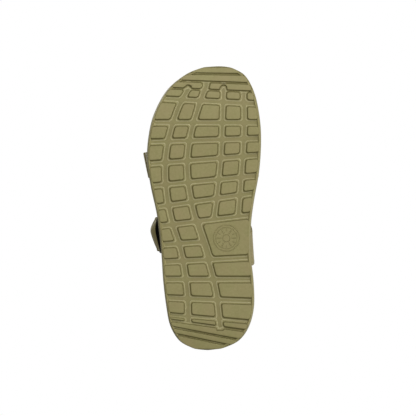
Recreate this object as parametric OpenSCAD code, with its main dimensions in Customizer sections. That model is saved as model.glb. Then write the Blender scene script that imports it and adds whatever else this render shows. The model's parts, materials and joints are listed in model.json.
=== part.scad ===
// Strappy sport sandal for the right foot: sole unit, three straps with rings and closing tabs.
// The origin is on the ground under the middle of the sole. +Y points to the toes, +X to the
// outer side of the foot, +Z up.

/* [Sole] */
// Height of the raised tread blocks
lug_h = 2; // [1.5:0.1:3]
// Thickness of the outsole sheet that joins the blocks
web_h = 2; // [1.5:0.1:3]
// Height of the midsole's top above the ground at the heel
heel_top = 24; // [21:0.5:28]
// Height of the midsole's top above the ground at the forefoot
fore_top = 16; // [14:0.5:19]
// Lift of the toe tip above the ground
toe_spring = 13; // [8:0.5:16]
// Lift of the heel's back edge above the ground
heel_bevel = 4; // [2:0.5:6]
// Thickness of the footbed at its centre
bed_h = 5; // [4:0.5:7]
// Height of the footbed's rim around the heel
heel_cup = 9; // [6:0.5:11]

/* [Tread] */
// Width of the lengthwise channels
long_channel = 8; // [6:0.2:9]
// Width of the cross channels
cross_channel = 7.4; // [5:0.2:9]
// Width of the narrow grooves at the toe and the heel
groove = 2.4; // [1.8:0.1:3]
// Width of the raised lip around the tread
rim_w = 2.6; // [2.2:0.1:4]
// Radius at the corners of the tread blocks
lug_r = 1.4; // [0.8:0.1:2]
// Radius of the plain roundel on the waist panel
roundel_r = 13.5; // [10:0.5:14]

/* [Straps] */
// Thickness of the strap material
strap_t = 1.9; // [1.6:0.1:2.2]
// Width of the forefoot strap
fore_w = 26; // [22:1:28]
// Width of the instep strap
instep_w = 34; // [30:1:36]
// Width of the heel strap
heel_w = 20; // [16:1:22]
// Thickness of the padded lining
lining_t = 3; // [2:0.5:4]
// Thickness of the loop patch on a strap
loop_t = 1.3; // [1:0.1:1.3]
// Thickness of the hook patch under a tab
hook_t = 1.3; // [1:0.1:1.3]

/* [Rings] */
// Diameter of the wire of the rings
wire_d = 2.6; // [2.2:0.1:2.8]
// Mean radius of the round heel rings
heel_ring_r = 10; // [9:0.5:11]

/* [Hidden] */

olive = [0.42, 0.40, 0.25];
olive_dark = [0.33, 0.31, 0.20];
near_black = [0.07, 0.07, 0.07];
steel = [0.35, 0.35, 0.33];

// The sole's edge from the back of the heel to the tip of the toe, one list for each side
heel_y = -141.8;
toe_y = 142.6;
outer_edge = [
    [-4, heel_y], [4, -141.2], [12, -139.5], [25, -132], [34, -117], [38, -97], [41, -72],
    [43, -43], [47, -8], [53, 20], [57, 46], [56, 70], [50.5, 94], [37.6, 118], [19.5, 133.6],
    [3, 140.8], [-7, 142.2], [-15, toe_y],
];
inner_edge = [
    [-4, heel_y], [-12, -140.9], [-20, -139.4], [-35, -132], [-45, -118], [-50, -98],
    [-49.5, -72], [-46.5, -44], [-47, -16], [-50, 8], [-55, 36], [-57, 64], [-56, 88],
    [-51, 114], [-41.8, 132.3], [-30, 140], [-22, 142.1], [-15, toe_y],
];

// Where the sole leaves the ground toward the toe and toward the back of the heel
toe_start = 78;
heel_start = -106;
stations = 40;
edge_steps = 6;

// The gap left between pieces that lie on each other
fit = 0.1;
wire_r = wire_d / 2;
eye_bore_r = wire_r + 0.2;
eye_r = eye_bore_r + strap_t;
eye_lift = eye_r - 0.1;
ring_end_t = 2.4;
ring_end_r = 2.1;
stack_h = 2 * eye_r;
tab_low = stack_h - strap_t;
hook_low = tab_low - hook_t - 0.05;

// ---- curves ----------------------------------------------------------------------------

function unit(v) = v / norm(v);
function clamp(x, low, high) = min(high, max(low, x));
function ease(t) = let (u = clamp(t, 0, 1)) u * u * (3 - 2 * u);

// A smooth curve through the points of a list; t runs from 0 to the number of spans
function curve_at(list, t) =
    let (last = len(list) - 1, i = clamp(floor(t), 0, last - 1), u = t - i)
    let (a = list[max(i - 1, 0)], b = list[i], c = list[i + 1], d = list[min(i + 2, last)])
    b + 0.5 * u * ((c - a) + u * ((2 * a - 5 * b + 4 * c - d) + u * (3 * b - a - 3 * c + d)));

function curve(list, steps) =
    [for (i = [0 : (len(list) - 1) * steps]) curve_at(list, i / steps)];

outer_curve = curve(outer_edge, edge_steps);
inner_curve = curve(inner_edge, edge_steps);
outer_table = [for (p = outer_curve) [p[1], p[0]]];
inner_table = [for (p = inner_curve) [p[1], p[0]]];
function outer_x(y) = lookup(y, outer_table);
function inner_x(y) = lookup(y, inner_table);

// The ground side of the sole curls up along an arc at each end
function arc_rise(run, reach, lift) =
    let (r = (reach * reach + lift * lift) / (2 * lift)) run <= 0 ? 0 : r - sqrt(r * r - run * run);
function rise(y) =
    arc_rise(y - toe_start, toe_y - toe_start, toe_spring)
    + arc_rise(heel_start - y, heel_start - heel_y, heel_bevel);

// Height of the midsole's top
function mid_top(y) = heel_top + (fore_top - heel_top) * ease((y + 70) / 110)
    + 0.8 * arc_rise(y - toe_start, toe_y - toe_start, toe_spring);

// Height of the footbed's rim over its centre: a heel cup, an arch support and a low toe rim
function rim_rise(y, inner) = 2.5 + (heel_cup - 2.5) * ease((-60 - y) / 50)
    + (inner ? 5 : 1.5) * exp(-pow((y + 18) / 40, 2));

// ---- the sole's own shapes ---------------------------------------------------------------

function station_y(i) = heel_y + (toe_y - heel_y) * (1 - cos(180 * (i + 0.5) / stations)) / 2;
// One closed ring of edge points: up the outer side, then back down the inner side
edge_ring = concat(
    [for (i = [0 : stations - 1]) [outer_x(station_y(i)), station_y(i)]],
    [for (i = [stations - 1 : -1 : 0]) [inner_x(station_y(i)), station_y(i)]]
);
// The nearest point of the sole's middle line, which ends short of the heel and the toe
function spine(y) = let (s = clamp(y, -94, 84)) [(outer_x(s) + inner_x(s)) / 2, s];
function inset_point(p, d) = let (s = spine(p[1]), r = norm(s - p)) p + (s - p) * min(d / r, 0.96);

// A closed solid through rings of equally many points. Its two end rings are closed by strips
// from side to side.
module ringed(rings) {
    n = len(rings[0]);
    half = n / 2;
    last = (len(rings) - 1) * n;
    walls = [
        for (k = [0 : len(rings) - 2], i = [0 : n - 1])
        let (a = k * n + i, b = k * n + (i + 1) % n)
        each [[a, b, b + n], [a, b + n, a + n]]
    ];
    caps = [
        for (i = [0 : half - 2])
        let (a = i, b = i + 1, c = n - 2 - i, d = n - 1 - i)
        each [[a, c, b], [a, d, c], [last + a, last + b, last + c], [last + a, last + c, last + d]]
    ];
    faces = [for (f = concat(walls, caps)) [f[2], f[1], f[0]]];
    polyhedron(points = [for (r = rings) each r], faces = faces);
}

// A slab seen from the side, as wide as the sole, between two heights over the curled ground
module side_slab(low, high) {
    ys = concat(
        [-150, -142, -133, -124, -115],
        [-106, toe_start],
        [for (i = [1 : 7]) toe_start + i * 10]
    );
    rotate([90, 0, 90])
        linear_extrude(140, center = true)
            polygon(concat(
                [for (y = ys) [y, low + rise(clamp(y, heel_y, toe_y))]],
                [for (i = [len(ys) - 1 : -1 : 0]) [ys[i], high + rise(clamp(ys[i], heel_y, toe_y))]]
            ));
}

module edge_shape(inset) {
    polygon([for (p = edge_ring) inset_point(p, inset)]);
}

// ---- the tread ---------------------------------------------------------------------------

// Lengthwise channels, from the toe to the heel
channel_1 = [[16, 120], [27, 98], [36, 68], [39, 34], [34, -6], [23, -44], [17, -82], [16, -115]];
channel_2 = [[-2, 123], [5, 104], [14, 72], [17, 38], [11, -2], [-2, -44], [-12, -84], [-16, -121]];
channel_3 = [[-19.5, 121.5], [-18.5, 96], [-17, 58], [-13.5, 20], [-10, -10]];
channel_4 = [[-39.5, 112], [-40, 80], [-38, 44], [-34, -8]];

// Cross channels: where each one crosses the middle, and how much it slants
cross_full = [
    [107.4, 0.05], [85.7, 0], [68.2, -0.035], [48.8, -0.08], [27.5, -0.1], [8.1, -0.14],
    [-12.3, -0.12], [-51.6, -0.05], [-71, 0], [-91, 0.04],
];
heel_cross = [-109.3, 0.09];
cross_outer = [-33.5, -0.07];
toe_grooves = [[134.9, 0.015], [126.9, 0.0375], [118.9, 0.045]];
heel_grooves = [[-116.5, 0.14], [-124.7, 0.19], [-131.7, 0.21]];
// The second channel is wider beside the waist panel
panel_side = [[6.8, -13], [2.8, -24], [-2.8, -42]];

module along(list, w, round_end = true) {
    pts = curve(list, 5);
    n = len(pts) - 1;
    side = [
        for (i = [0 : n])
        let (t = unit(pts[min(i + 1, n)] - pts[max(i - 1, 0)]))
        [t[1], -t[0]] * w / 2
    ];
    polygon(concat(
        [for (i = [0 : n]) pts[i] + side[i]],
        [for (i = [n : -1 : 0]) pts[i] - side[i]]
    ));
    if (round_end) translate(pts[0]) circle(w / 2, $fn = 24);
}

// A straight channel between two x places, on the line y = place + slant * x
module across(line, w, from = -70, to = 70) {
    polygon([
        [from, line[0] + line[1] * from - w / 2], [to, line[0] + line[1] * to - w / 2],
        [to, line[0] + line[1] * to + w / 2], [from, line[0] + line[1] * from + w / 2],
    ]);
}

module channels() {
    along(channel_1, long_channel);
    along(channel_2, long_channel);
    along(channel_3, long_channel - 0.7);
    along(channel_4, long_channel - 0.4);
    for (line = cross_full) across(line, cross_channel);
    across(heel_cross, 0.68 * cross_channel);
    across(cross_outer, cross_channel, 4, 70);
    along(panel_side, long_channel + 2, false);
    polygon([[-5, -39], [-14.5, -48], [-4, -48]]);
    for (line = toe_grooves) across(line, groove);
    across(heel_grooves[0], 1.3 * groove);
    across(heel_grooves[1], groove);
    across(heel_grooves[2], groove, -26, 28);
}

// The lip around the tread closes the channels; it thins toward the toe and the heel
function rim_at(y) = rim_w * (1 - 0.5 * ease((abs(y) - 105) / 30));

module tread_shape() {
    offset(r = lug_r, $fn = 12) offset(delta = -lug_r)
        difference() {
            polygon([for (p = edge_ring) inset_point(p, rim_at(p[1]))]);
            channels();
        }
    difference() {
        edge_shape(1.25);
        polygon([for (p = edge_ring) inset_point(p, rim_at(p[1]) + 0.3)]);
    }
}

roundel_at = [-22.5, -29.5];
module ring_line(r, w, depth) {
    rotate_extrude($fn = 64) translate([r - w, -0.2]) square([w, depth + 0.2]);
}
module roundel_cuts() {
    translate(roundel_at) {
        ring_line(roundel_r, 0.9, 0.5);
        ring_line(roundel_r - 3, 0.7, 0.4);
        for (i = [0 : 5])
            rotate(60 * i)
                translate([5.5, -0.45, -0.2]) cube([3.4, 0.9, 0.6]);
        ring_line(4, 0.8, 0.4);
    }
}

module outsole() {
    color(olive)
        difference() {
            union() {
                intersection() {
                    linear_extrude(60, center = true) edge_shape(1.2);
                    side_slab(lug_h, lug_h + web_h);
                }
                intersection() {
                    linear_extrude(60, center = true) tread_shape();
                    side_slab(0, lug_h + web_h / 2);
                }
            }
            roundel_cuts();
        }
}

// ---- midsole, shank and footbed ------------------------------------------------------------

function mid_base(y) = lug_h + web_h + fit + rise(y);
// Height along the midsole's side wall, from its base at 0 to its top at 1
function mid_wall(y, share) = mid_base(y) + (mid_top(y) - mid_base(y)) * share;

// A notch in the midsole's top edge where a strap goes in; it slopes as the top does
module strap_notch(y, w, side) {
    drop = strap_t + tongue_drop + 0.7;
    slope = (mid_top(y + 5) - mid_top(y - 5)) / 10;
    x = side > 0 ? outer_x(y) : inner_x(y);
    translate([x - side * 8, y, mid_top(y) - drop])
        rotate([atan(slope), 0, 0])
            translate([-14, -w / 2 - 0.4, 0]) cube([28, w + 0.8, drop + 6]);
}

module midsole() {
    rings = [
        for (level = [[3.6, 0, 0], [1.8, 0, 0.5], [0.5, 0, 1.9], [0, 0, 3.6], [0.6, 0.6, 0], [1.6, 1, 0]])
        [
            for (p = edge_ring)
            let (q = inset_point(p, level[0]))
            [q[0], q[1], mid_wall(q[1], level[1]) + level[2]]
        ]
    ];
    color(olive)
        difference() {
            ringed(rings);
            for (n = notches) strap_notch(n[0], n[1], n[2]);
            shank_place() cube([shank_w + 0.6, shank_l + 0.6, shank_t + 9], center = true);
        }
}

shank_l = 92;
shank_w = 26;
shank_t = 1.4;
shank_slope = atan((mid_top(25) - mid_top(-45)) / 70);
module shank_place() {
    translate([-1, -10, mid_top(-10) - 3.2]) rotate([shank_slope, 0, 0]) translate([0, 0, 4.5]) children();
}

module shank() {
    color(near_black)
        shank_place()
            translate([0, 0, -4.45])
                linear_extrude(shank_t)
                    union() {
                        square([shank_w, shank_l - shank_w], center = true);
                        for (s = [-1, 1])
                            translate([0, s * (shank_l - shank_w) / 2]) circle(shank_w / 2, $fn = 48);
                    }
}

bed_inset = 2.6;
// Height of the footbed's top over a point q that lies inset from the edge point p
function bed_z(p, q, inset) =
    mid_top(q[1]) + bed_h + rim_rise(p[1], p[0] < spine(p[1])[0]) * (1 - ease((inset - 4) / 17));

module footbed() {
    low = [
        for (level = [[4, 0], [bed_inset, 0.9]])
        [
            for (p = edge_ring)
            let (q = inset_point(p, level[0]))
            [q[0], q[1], mid_top(q[1]) + fit + level[1]]
        ]
    ];
    high = [
        for (level = [[bed_inset + 0.2, 1.3], [4, 0], [7, 0], [10.5, 0], [14.5, 0], [21, 0]])
        [
            for (p = edge_ring)
            let (q = inset_point(p, level[0]))
            [q[0], q[1], bed_z(p, q, level[0]) - level[1]]
        ]
    ];
    color(olive_dark)
        difference() {
            ringed(concat(low, high));
            for (slot = strap_slots)
                layer(slot[0], slot[1], slot[2], -2 * fit, strap_t + 3 * fit, slot[3] + 1);
        }
}

// ---- straps --------------------------------------------------------------------------------

// Each strap follows one path along its inner face. A path point is [x, y, z, slant, bow]:
// slant is how far the rear edge stands out for each mm of width, and bow is how far the
// middle of the width stands out.
fore_y = 44;
instep_outer_y = -26;
instep_inner_y = -41;
heel_y_in = -72;
tongue_drop = 0.3;
function tongue_z(y) = mid_top(y) - tongue_drop;

fore_path = [
    [38, fore_y, tongue_z(fore_y), 0, 0], [49, fore_y, tongue_z(fore_y), 0, 0],
    [54, fore_y, tongue_z(fore_y) + 5, -0.1, 0], [55.2, 44, 32, -0.18, 0.6],
    [51.7, 44.5, 45, -0.2, 0.1], [43.5, 45, 56, -0.1, 0], [31.5, 46, 64, 0.02, 0],
    [16, 47, 69.5, 0.1, 0], [-2, 47, 71, 0.12, 0], [-20, 47, 69, 0.1, 0], [-36, 46, 62, 0.05, 0],
    [-47, 45, 50, -0.01, 0], [-52.4, 44, 36, -0.03, 0], [-52.8, fore_y, tongue_z(fore_y) + 5, -0.04, 0],
    [-47.5, fore_y, tongue_z(fore_y), 0, 0], [-37, fore_y, tongue_z(fore_y), 0, 0],
];

instep_path = [
    [27, instep_outer_y, tongue_z(instep_outer_y), -0.105, 0],
    [37, instep_outer_y, tongue_z(instep_outer_y), -0.105, 0],
    [42.6, instep_outer_y, tongue_z(instep_outer_y) + 5, -0.11, 0],
    [44.2, -26, 37, -0.07, 6.8], [41.8, -25.5, 50, -0.04, 0.4], [37.6, -24, 63, 0.08, 0],
    [29.5, -21, 74.5, 0.2, 0], [17.5, -17, 84, 0.3, 0], [3, -14, 90, 0.35, 0],
    [-14, -14, 90, 0.34, 0],
    [-29, -18, 81, 0.28, 0], [-40, -25, 67, 0.18, 0], [-46, -33, 51, 0.1, 0], [-47.4, -39, 36, 0.05, 0],
    [-44.3, instep_inner_y, tongue_z(instep_inner_y) + 5, -0.02, 0],
    [-39, instep_inner_y, tongue_z(instep_inner_y), -0.088, 0],
    [-28, instep_inner_y, tongue_z(instep_inner_y), -0.088, 0],
];

// The heel strap hangs in two round rings, and swings about the line through their centres
heel_axis_y = -68;
heel_axis_z = 62;
heel_outer_x = 34;
heel_inner_x = -41.4;
heel_path = [
    [heel_outer_x - eye_r, -78, 64.6, 0, 0], [30.5, -89, 67.5, 0, 0], [27.5, -103, 71, 0, 0],
    [19, -116, 74, 0, 0], [7, -124.5, 76, 0, 0], [-7, -127, 76.5, 0, 0], [-20, -121.5, 75.5, 0, 0],
    [-31, -110, 73, 0, 0], [-36.5, -95, 69, 0, 0], [heel_inner_x + eye_r, -78, 64.6, 0, 0],
];
heel_side_outer = [
    [22, heel_y_in, tongue_z(heel_y_in), 0, 0], [33, heel_y_in, tongue_z(heel_y_in), 0, 0],
    [38.6, heel_y_in, tongue_z(heel_y_in) + 5, -0.05, 0], [36.5, -71, 40, 0, 0],
    [heel_outer_x - eye_r, -68, 52, 0, 0],
];
heel_side_inner = [
    [heel_inner_x + eye_r, -68, 52, 0, 0], [-44.5, -71, 40, 0, 0],
    [-46.9, heel_y_in, tongue_z(heel_y_in) + 5, 0.03, 0],
    [-42, heel_y_in, tongue_z(heel_y_in), 0, 0], [-31, heel_y_in, tongue_z(heel_y_in), 0, 0],
];

// Where the straps go in under the footbed: the place along the sole, the width and the side
notches = [
    [fore_y, fore_w, 1], [fore_y, fore_w, -1], [instep_outer_y, instep_w, 1],
    [instep_inner_y, instep_w, -1], [heel_y_in, heel_w, 1], [heel_y_in, heel_w, -1],
];

// The slots in the footbed's edge where the straps go in: the path, its span and the width
strap_slots = [
    [fore_path, 0, 2.4, fore_w], [fore_path, 12.6, 15, fore_w],
    [instep_path, 0, 2.6, instep_w], [instep_path, 13.6, 16, instep_w],
    [heel_side_outer, 0, 2.4, heel_w], [heel_side_inner, 1.6, 4, heel_w],
];

// Place, direction along the strap, outward normal, direction across and bow at one spot
function frame_at(path, t, across) =
    let (p = curve_at(path, t), d = 0.01)
    let (a = curve_at(path, t - d), b = curve_at(path, t + d))
    let (along = unit([b[0] - a[0], b[1] - a[1], b[2] - a[2]]))
    let (level = unit(cross(along, across)), raw = across + p[3] * level)
    let (side = unit(raw - (raw * along) * along))
    [[p[0], p[1], p[2]], along, cross(along, side), side, p[4]];

rearward = [0, -1, 0];
downward = [0, 0, -1];

// How far the bow reaches at v across the width: it peaks at a soft corner ahead of the middle
bow_peak = -0.33;
function bow_shape(v) =
    1 - pow(abs(v - bow_peak) / (v < bow_peak ? 1 + bow_peak : 1 - bow_peak), 1.2);

function slab_ring(f, low, high, hw) =
    let (vs = [-1, -0.66, bow_peak, 0.33, 1], thin = 0.15 * (high - low))
    concat(
        [
            for (v = vs)
            f[0] + f[3] * v * hw + f[2] * (high - (abs(v) == 1 ? thin : 0) + f[4] * bow_shape(v))
        ],
        [
            for (i = [4 : -1 : 0])
            let (v = vs[i])
            f[0] + f[3] * v * hw + f[2] * (low + (abs(v) == 1 ? thin : 0) + f[4] * bow_shape(v))
        ]
    );

// Width share at u along a slab whose ends narrow, from 0 at one end to 1 at the other
function end_share(u, share, reach) =
    u > reach ? 1 : let (k = 1 - u / reach) sqrt(1 - k * k * (1 - share * share));

// A closed layer along a path, from t0 to t1, between two heights over the path's surface. All
// layers have their rings at the same fifths of a span, so layers on one path nest.
module layer(path, t0, t1, low, high, w, across = rearward, start = 1, finish = 1, reach = 0.2) {
    ts = [t0, for (k = [ceil(5 * t0 + 0.1) : floor(5 * t1 - 0.1)]) k / 5, t1];
    rings = [
        for (t = ts)
        let (u = (t - t0) / (t1 - t0))
        let (share = min(end_share(u, start, reach), end_share(1 - u, finish, reach)))
        slab_ring(frame_at(path, t, across), low, high, share * w / 2)
    ];
    n = 10;
    last = (len(ts) - 1) * n;
    walls = [
        for (k = [0 : len(ts) - 2], i = [0 : n - 1])
        let (a = k * n + i, b = k * n + (i + 1) % n)
        each [[a, b, b + n], [a, b + n, a + n]]
    ];
    caps = [
        for (i = [0 : 3])
        let (a = i, b = i + 1, c = n - 2 - i, d = n - 1 - i)
        each [[a, c, b], [a, d, c], [last + a, last + b, last + c], [last + a, last + c, last + d]]
    ];
    polyhedron(points = [for (r = rings) each r], faces = concat(walls, caps));
}

// Puts children at a spot of a path: x along the strap, y across it, z outward
module at_path(path, t, lift, across = rearward) {
    f = frame_at(path, t, across);
    o = f[0] + f[2] * lift;
    multmatrix([
        [f[1][0], f[3][0], f[2][0], o[0]],
        [f[1][1], f[3][1], f[2][1], o[1]],
        [f[1][2], f[3][2], f[2][2], o[2]],
        [0, 0, 0, 1],
    ]) children();
}

// The sewn eye at a strap's end, around a ring's bar. It stands a little proud of the strap.
module eye(w) {
    rotate([90, 0, 0]) cylinder(r = eye_r, h = w - 0.4, center = true, $fn = 48);
}
module eye_bore(w) {
    rotate([90, 0, 0]) cylinder(r = eye_bore_r, h = w + 20, center = true, $fn = 48);
}

// Where the two bars of each ring lie along the paths
fore_low_bar = 4.05;
fore_high_bar = 4.93;
instep_low_bar = 4.1;
instep_high_bar = 4.98;

// A ring between two spots of a path: two long round bars and two flat ends with round tips
module strap_ring(path, low_bar, high_bar, w) {
    a = frame_at(path, low_bar, rearward);
    b = frame_at(path, high_bar, rearward);
    half = w / 2 + ring_end_t / 2 + 0.5;
    pa = a[0] + a[2] * eye_lift;
    pb = b[0] + b[2] * eye_lift;
    for (bar = [[pa, a[3]], [pb, b[3]]])
        translate(bar[0])
            along_direction(bar[1])
                cylinder(r = wire_r, h = 2 * half + 1, center = true, $fn = 48);
    for (s = [-1, 1]) ring_end(pa + s * half * a[3], pb + s * half * b[3]);
}
module along_direction(d) {
    rotate([0, acos(d[2]), atan2(d[1], d[0])]) children();
}
module ring_end(p, q) {
    u = unit(q - p);
    v = unit(cross(u, cross(rearward, u)));
    n = cross(u, v);
    reach = norm(q - p) / 2;
    m = (p + q) / 2;
    tip = [for (i = [0 : 12]) ring_end_r * [sin(15 * i), -cos(15 * i)]];
    multmatrix([
        [u[0], n[0], v[0], m[0]], [u[1], n[1], v[1], m[1]], [u[2], n[2], v[2], m[2]], [0, 0, 0, 1],
    ])
        linear_extrude(ring_end_t, center = true)
            polygon(concat([for (t = tip) t + [reach, 0]], [for (t = tip) -t - [reach, 0]]));
}

module anchor(path, t0, t1, w) {
    difference() {
        union() {
            layer(path, t0, t1, 0, strap_t, w);
            at_path(path, t1, eye_lift) eye(w);
        }
        at_path(path, t1, eye_lift) eye_bore(w);
    }
}

// A strap that starts with an eye on the ring's upper bar. A short root over the eye carries
// the closing tab.
module ring_strap(path, t0, t1, w) {
    difference() {
        union() {
            layer(path, t0, t1, 0, strap_t, w);
            at_path(path, t0, eye_lift) eye(w);
            at_path(path, t0, tab_low) translate([0.2, -w / 2 + 0.6, 0]) cube([eye_r, w - 1.2, strap_t]);
        }
        at_path(path, t0, eye_lift) eye_bore(w);
    }
}

// A padded lining under a strap, the tapes and the tab of its closure, and the tab's pull
lining_gap = 0.3;
module lining(path, span, w, across = rearward, narrow = 0.8) {
    color(near_black)
        layer(path, span[0], span[1], -lining_t - lining_gap, -lining_gap, w, across, narrow, narrow, 0.06);
}
module loop_patch(path, span, w, across = rearward) {
    color(near_black) layer(path, span[0], span[1], strap_t + fit, strap_t + fit + loop_t, w, across);
}
module hook_patch(path, span, w, across = rearward) {
    color(near_black) layer(path, span[0], span[1], hook_low, hook_low + hook_t, w, across);
}
module closing_tab(path, span, w, across = rearward, start = 1) {
    color(olive) layer(path, span[0], span[1], tab_low, stack_h, w, across, start, 0.35, 0.24);
}
module pull(path, span, w, across = rearward) {
    color(olive_dark) layer(path, span[0], span[1], stack_h + 0.05, stack_h + 1.3, w, across);
}

// ---- forefoot ------------------------------------------------------------------------------

module forefoot_anchor() {
    color(olive) anchor(fore_path, 0.1, fore_low_bar, fore_w);
}
module forefoot_ring() {
    color(steel) strap_ring(fore_path, fore_low_bar, fore_high_bar, fore_w);
}
module forefoot_strap() {
    color(olive) ring_strap(fore_path, fore_high_bar, 14.9, fore_w);
}
module forefoot_lining() {
    lining(fore_path, [2.7, 12.3], fore_w - 2);
}
module forefoot_loop_patch() {
    loop_patch(fore_path, [5.35, 9.6], fore_w - 5);
}
module forefoot_tab() {
    closing_tab(fore_path, [fore_high_bar + 0.3, 8.7], fore_w - 1);
}
module forefoot_hook_patch() {
    hook_patch(fore_path, [5.6, 8.2], fore_w - 6);
}
module forefoot_pull() {
    pull(fore_path, [8.3, 8.78], fore_w * 0.5);
}

// ---- instep --------------------------------------------------------------------------------

module instep_anchor() {
    color(olive) anchor(instep_path, 0.1, instep_low_bar, instep_w);
}
module instep_ring() {
    color(steel) strap_ring(instep_path, instep_low_bar, instep_high_bar, instep_w);
}
module instep_strap() {
    color(olive) ring_strap(instep_path, instep_high_bar, 15.9, instep_w);
}
module instep_lining() {
    lining(instep_path, [2.8, 13.1], instep_w - 2);
}
module instep_loop_patch() {
    loop_patch(instep_path, [5.45, 9.8], instep_w - 6);
}
module instep_tab() {
    closing_tab(instep_path, [instep_high_bar + 0.3, 8.9], instep_w - 1);
}
module instep_hook_patch() {
    hook_patch(instep_path, [5.7, 8.3], instep_w - 8);
}
module instep_pull() {
    pull(instep_path, [8.5, 8.98], instep_w * 0.45);
}

// ---- heel ----------------------------------------------------------------------------------

module heel_ring(x) {
    color(steel)
        translate([x, heel_axis_y, heel_axis_z])
            rotate([0, 90, 0])
                rotate_extrude($fn = 64) translate([heel_ring_r, 0]) circle(wire_r, $fn = 32);
}

// A curved eye around part of a round ring, centred at an angle in the ring's plane, where 0
// is forward and 90 is up. It slides along the ring.
module ring_eye(x, angle, spread) {
    translate([x, heel_axis_y, heel_axis_z])
        rotate([90, 0, 90])
            rotate(angle - spread)
                rotate_extrude(angle = 2 * spread, $fn = 64)
                    translate([heel_ring_r, 0]) circle(eye_r, $fn = 40);
}
module ring_bore(x) {
    translate([x, heel_axis_y, heel_axis_z])
        rotate([90, 0, 90])
            rotate_extrude($fn = 64) translate([heel_ring_r, 0]) circle(eye_bore_r + 0.15, $fn = 40);
}

swing_angle = 165;
module heel_anchor(path, t0, t1, x) {
    difference() {
        union() {
            layer(path, t0, t1, 0, strap_t, heel_w);
            ring_eye(x, 270, 32);
        }
        ring_bore(x);
    }
}
module heel_anchor_outer() {
    color(olive) heel_anchor(heel_side_outer, 0.1, 3.93, heel_outer_x);
}
module heel_anchor_inner() {
    color(olive) heel_anchor(heel_side_inner, 0.07, 3.9, heel_inner_x);
}
module heel_ring_outer() {
    heel_ring(heel_outer_x);
}
module heel_ring_inner() {
    heel_ring(heel_inner_x);
}

module heel_strap() {
    color(olive)
        difference() {
            union() {
                layer(heel_path, 0.08, 8.92, 0, strap_t, heel_w, downward, 0.55, 0.55, 0.08);
                ring_eye(heel_outer_x, swing_angle, 28);
                ring_eye(heel_inner_x, swing_angle, 28);
                layer(heel_path, 0.02, 0.3, tab_low, stack_h, heel_w * 0.55, downward);
            }
            ring_bore(heel_outer_x);
            ring_bore(heel_inner_x);
        }
}
module heel_pad() {
    lining(heel_path, [0.9, 8.1], heel_w + 4, downward, 0.6);
}
module heel_loop_patch() {
    loop_patch(heel_path, [0.7, 4.6], heel_w - 5, downward);
}
module heel_tab() {
    closing_tab(heel_path, [0.34, 3.9], heel_w - 1, downward, 0.6);
}
module heel_hook_patch() {
    hook_patch(heel_path, [0.9, 3.4], heel_w - 6, downward);
}
module heel_pull() {
    pull(heel_path, [3.5, 3.98], heel_w * 0.45, downward);
}

outsole();
midsole();
shank();
footbed();
forefoot_anchor();
forefoot_ring();
forefoot_strap();
forefoot_lining();
forefoot_loop_patch();
forefoot_tab();
forefoot_hook_patch();
forefoot_pull();
instep_anchor();
instep_ring();
instep_strap();
instep_lining();
instep_loop_patch();
instep_tab();
instep_hook_patch();
instep_pull();
heel_anchor_outer();
heel_anchor_inner();
heel_ring_outer();
heel_ring_inner();
heel_strap();
heel_pad();
heel_loop_patch();
heel_tab();
heel_hook_patch();
heel_pull();
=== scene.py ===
# %% [markdown]
# # A strappy sport sandal for the right foot
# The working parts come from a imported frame: every body, joint and size is settled there.
# This lesson puts finished surfaces around that frame: a moulded sole with tread blocks, a
# contoured footbed, woven straps with padded linings, rings, closing tabs and stitching.
# Everything is in the frame's own place: +Y to the toes, +X to the outer side, +Z up.

# %% Load the frame
import json

import bpy
import numpy as np
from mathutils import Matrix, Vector


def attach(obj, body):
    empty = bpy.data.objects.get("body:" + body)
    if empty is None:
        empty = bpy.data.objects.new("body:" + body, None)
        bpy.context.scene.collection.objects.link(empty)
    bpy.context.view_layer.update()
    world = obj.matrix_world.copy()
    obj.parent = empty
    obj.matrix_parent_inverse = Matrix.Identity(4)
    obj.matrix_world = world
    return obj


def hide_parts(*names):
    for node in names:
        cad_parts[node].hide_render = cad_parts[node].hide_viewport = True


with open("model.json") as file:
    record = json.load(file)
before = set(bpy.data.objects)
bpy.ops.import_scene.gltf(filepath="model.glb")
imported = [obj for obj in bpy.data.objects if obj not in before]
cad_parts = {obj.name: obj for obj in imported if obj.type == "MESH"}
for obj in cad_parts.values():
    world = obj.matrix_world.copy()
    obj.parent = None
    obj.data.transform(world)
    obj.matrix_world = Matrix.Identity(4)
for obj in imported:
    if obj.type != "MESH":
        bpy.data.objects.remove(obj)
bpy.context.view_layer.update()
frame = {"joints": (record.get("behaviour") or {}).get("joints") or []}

MM = 0.001
PER_METRE = 1000.0

# %% [markdown]
# ## The camera and the light
# The sandal is looked at from straight below, with the toes up, so the camera sits under it
# and looks up. A long lens keeps the sides nearly parallel. The floor only shows from above:
# its back is clear, and it casts no shadow, so the sole can be lit and seen through it. Soft
# area lights stand below, past the toes and past the inner side, so every tread block has a
# light edge and a dark one. Two more stand above for the straps.

# %% Camera
VIEW_WIDTH = 0.416
VIEW_MIDDLE = (-0.0039, 0.0005)
CAMERA_DROP = 9.0
SENSOR = 36.0

camera_data = bpy.data.cameras.new("camera")
camera_data.sensor_width = SENSOR
camera_data.lens = SENSOR * CAMERA_DROP / VIEW_WIDTH
camera = bpy.data.objects.new("camera", camera_data)
camera.location = (*VIEW_MIDDLE, -CAMERA_DROP)
camera.rotation_euler = (0, np.pi, 0)
bpy.context.collection.objects.link(camera)
bpy.context.scene.camera = camera
bpy.context.scene.view_settings.view_transform = "Standard"
print("lens in mm:", round(camera_data.lens, 1))

# %% Lights
def area_light(name, place, size, watts):
    """A square soft light at a place, turned to the middle of the object."""
    data = bpy.data.lights.new(name, "AREA")
    data.size = size
    data.energy = watts
    light = bpy.data.objects.new(name, data)
    light.location = place
    light.rotation_mode = "QUATERNION"
    light.rotation_quaternion = Vector(place).to_track_quat("Z", "Y")
    bpy.context.collection.objects.link(light)
    print(f"{name}: {watts} W")


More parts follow.
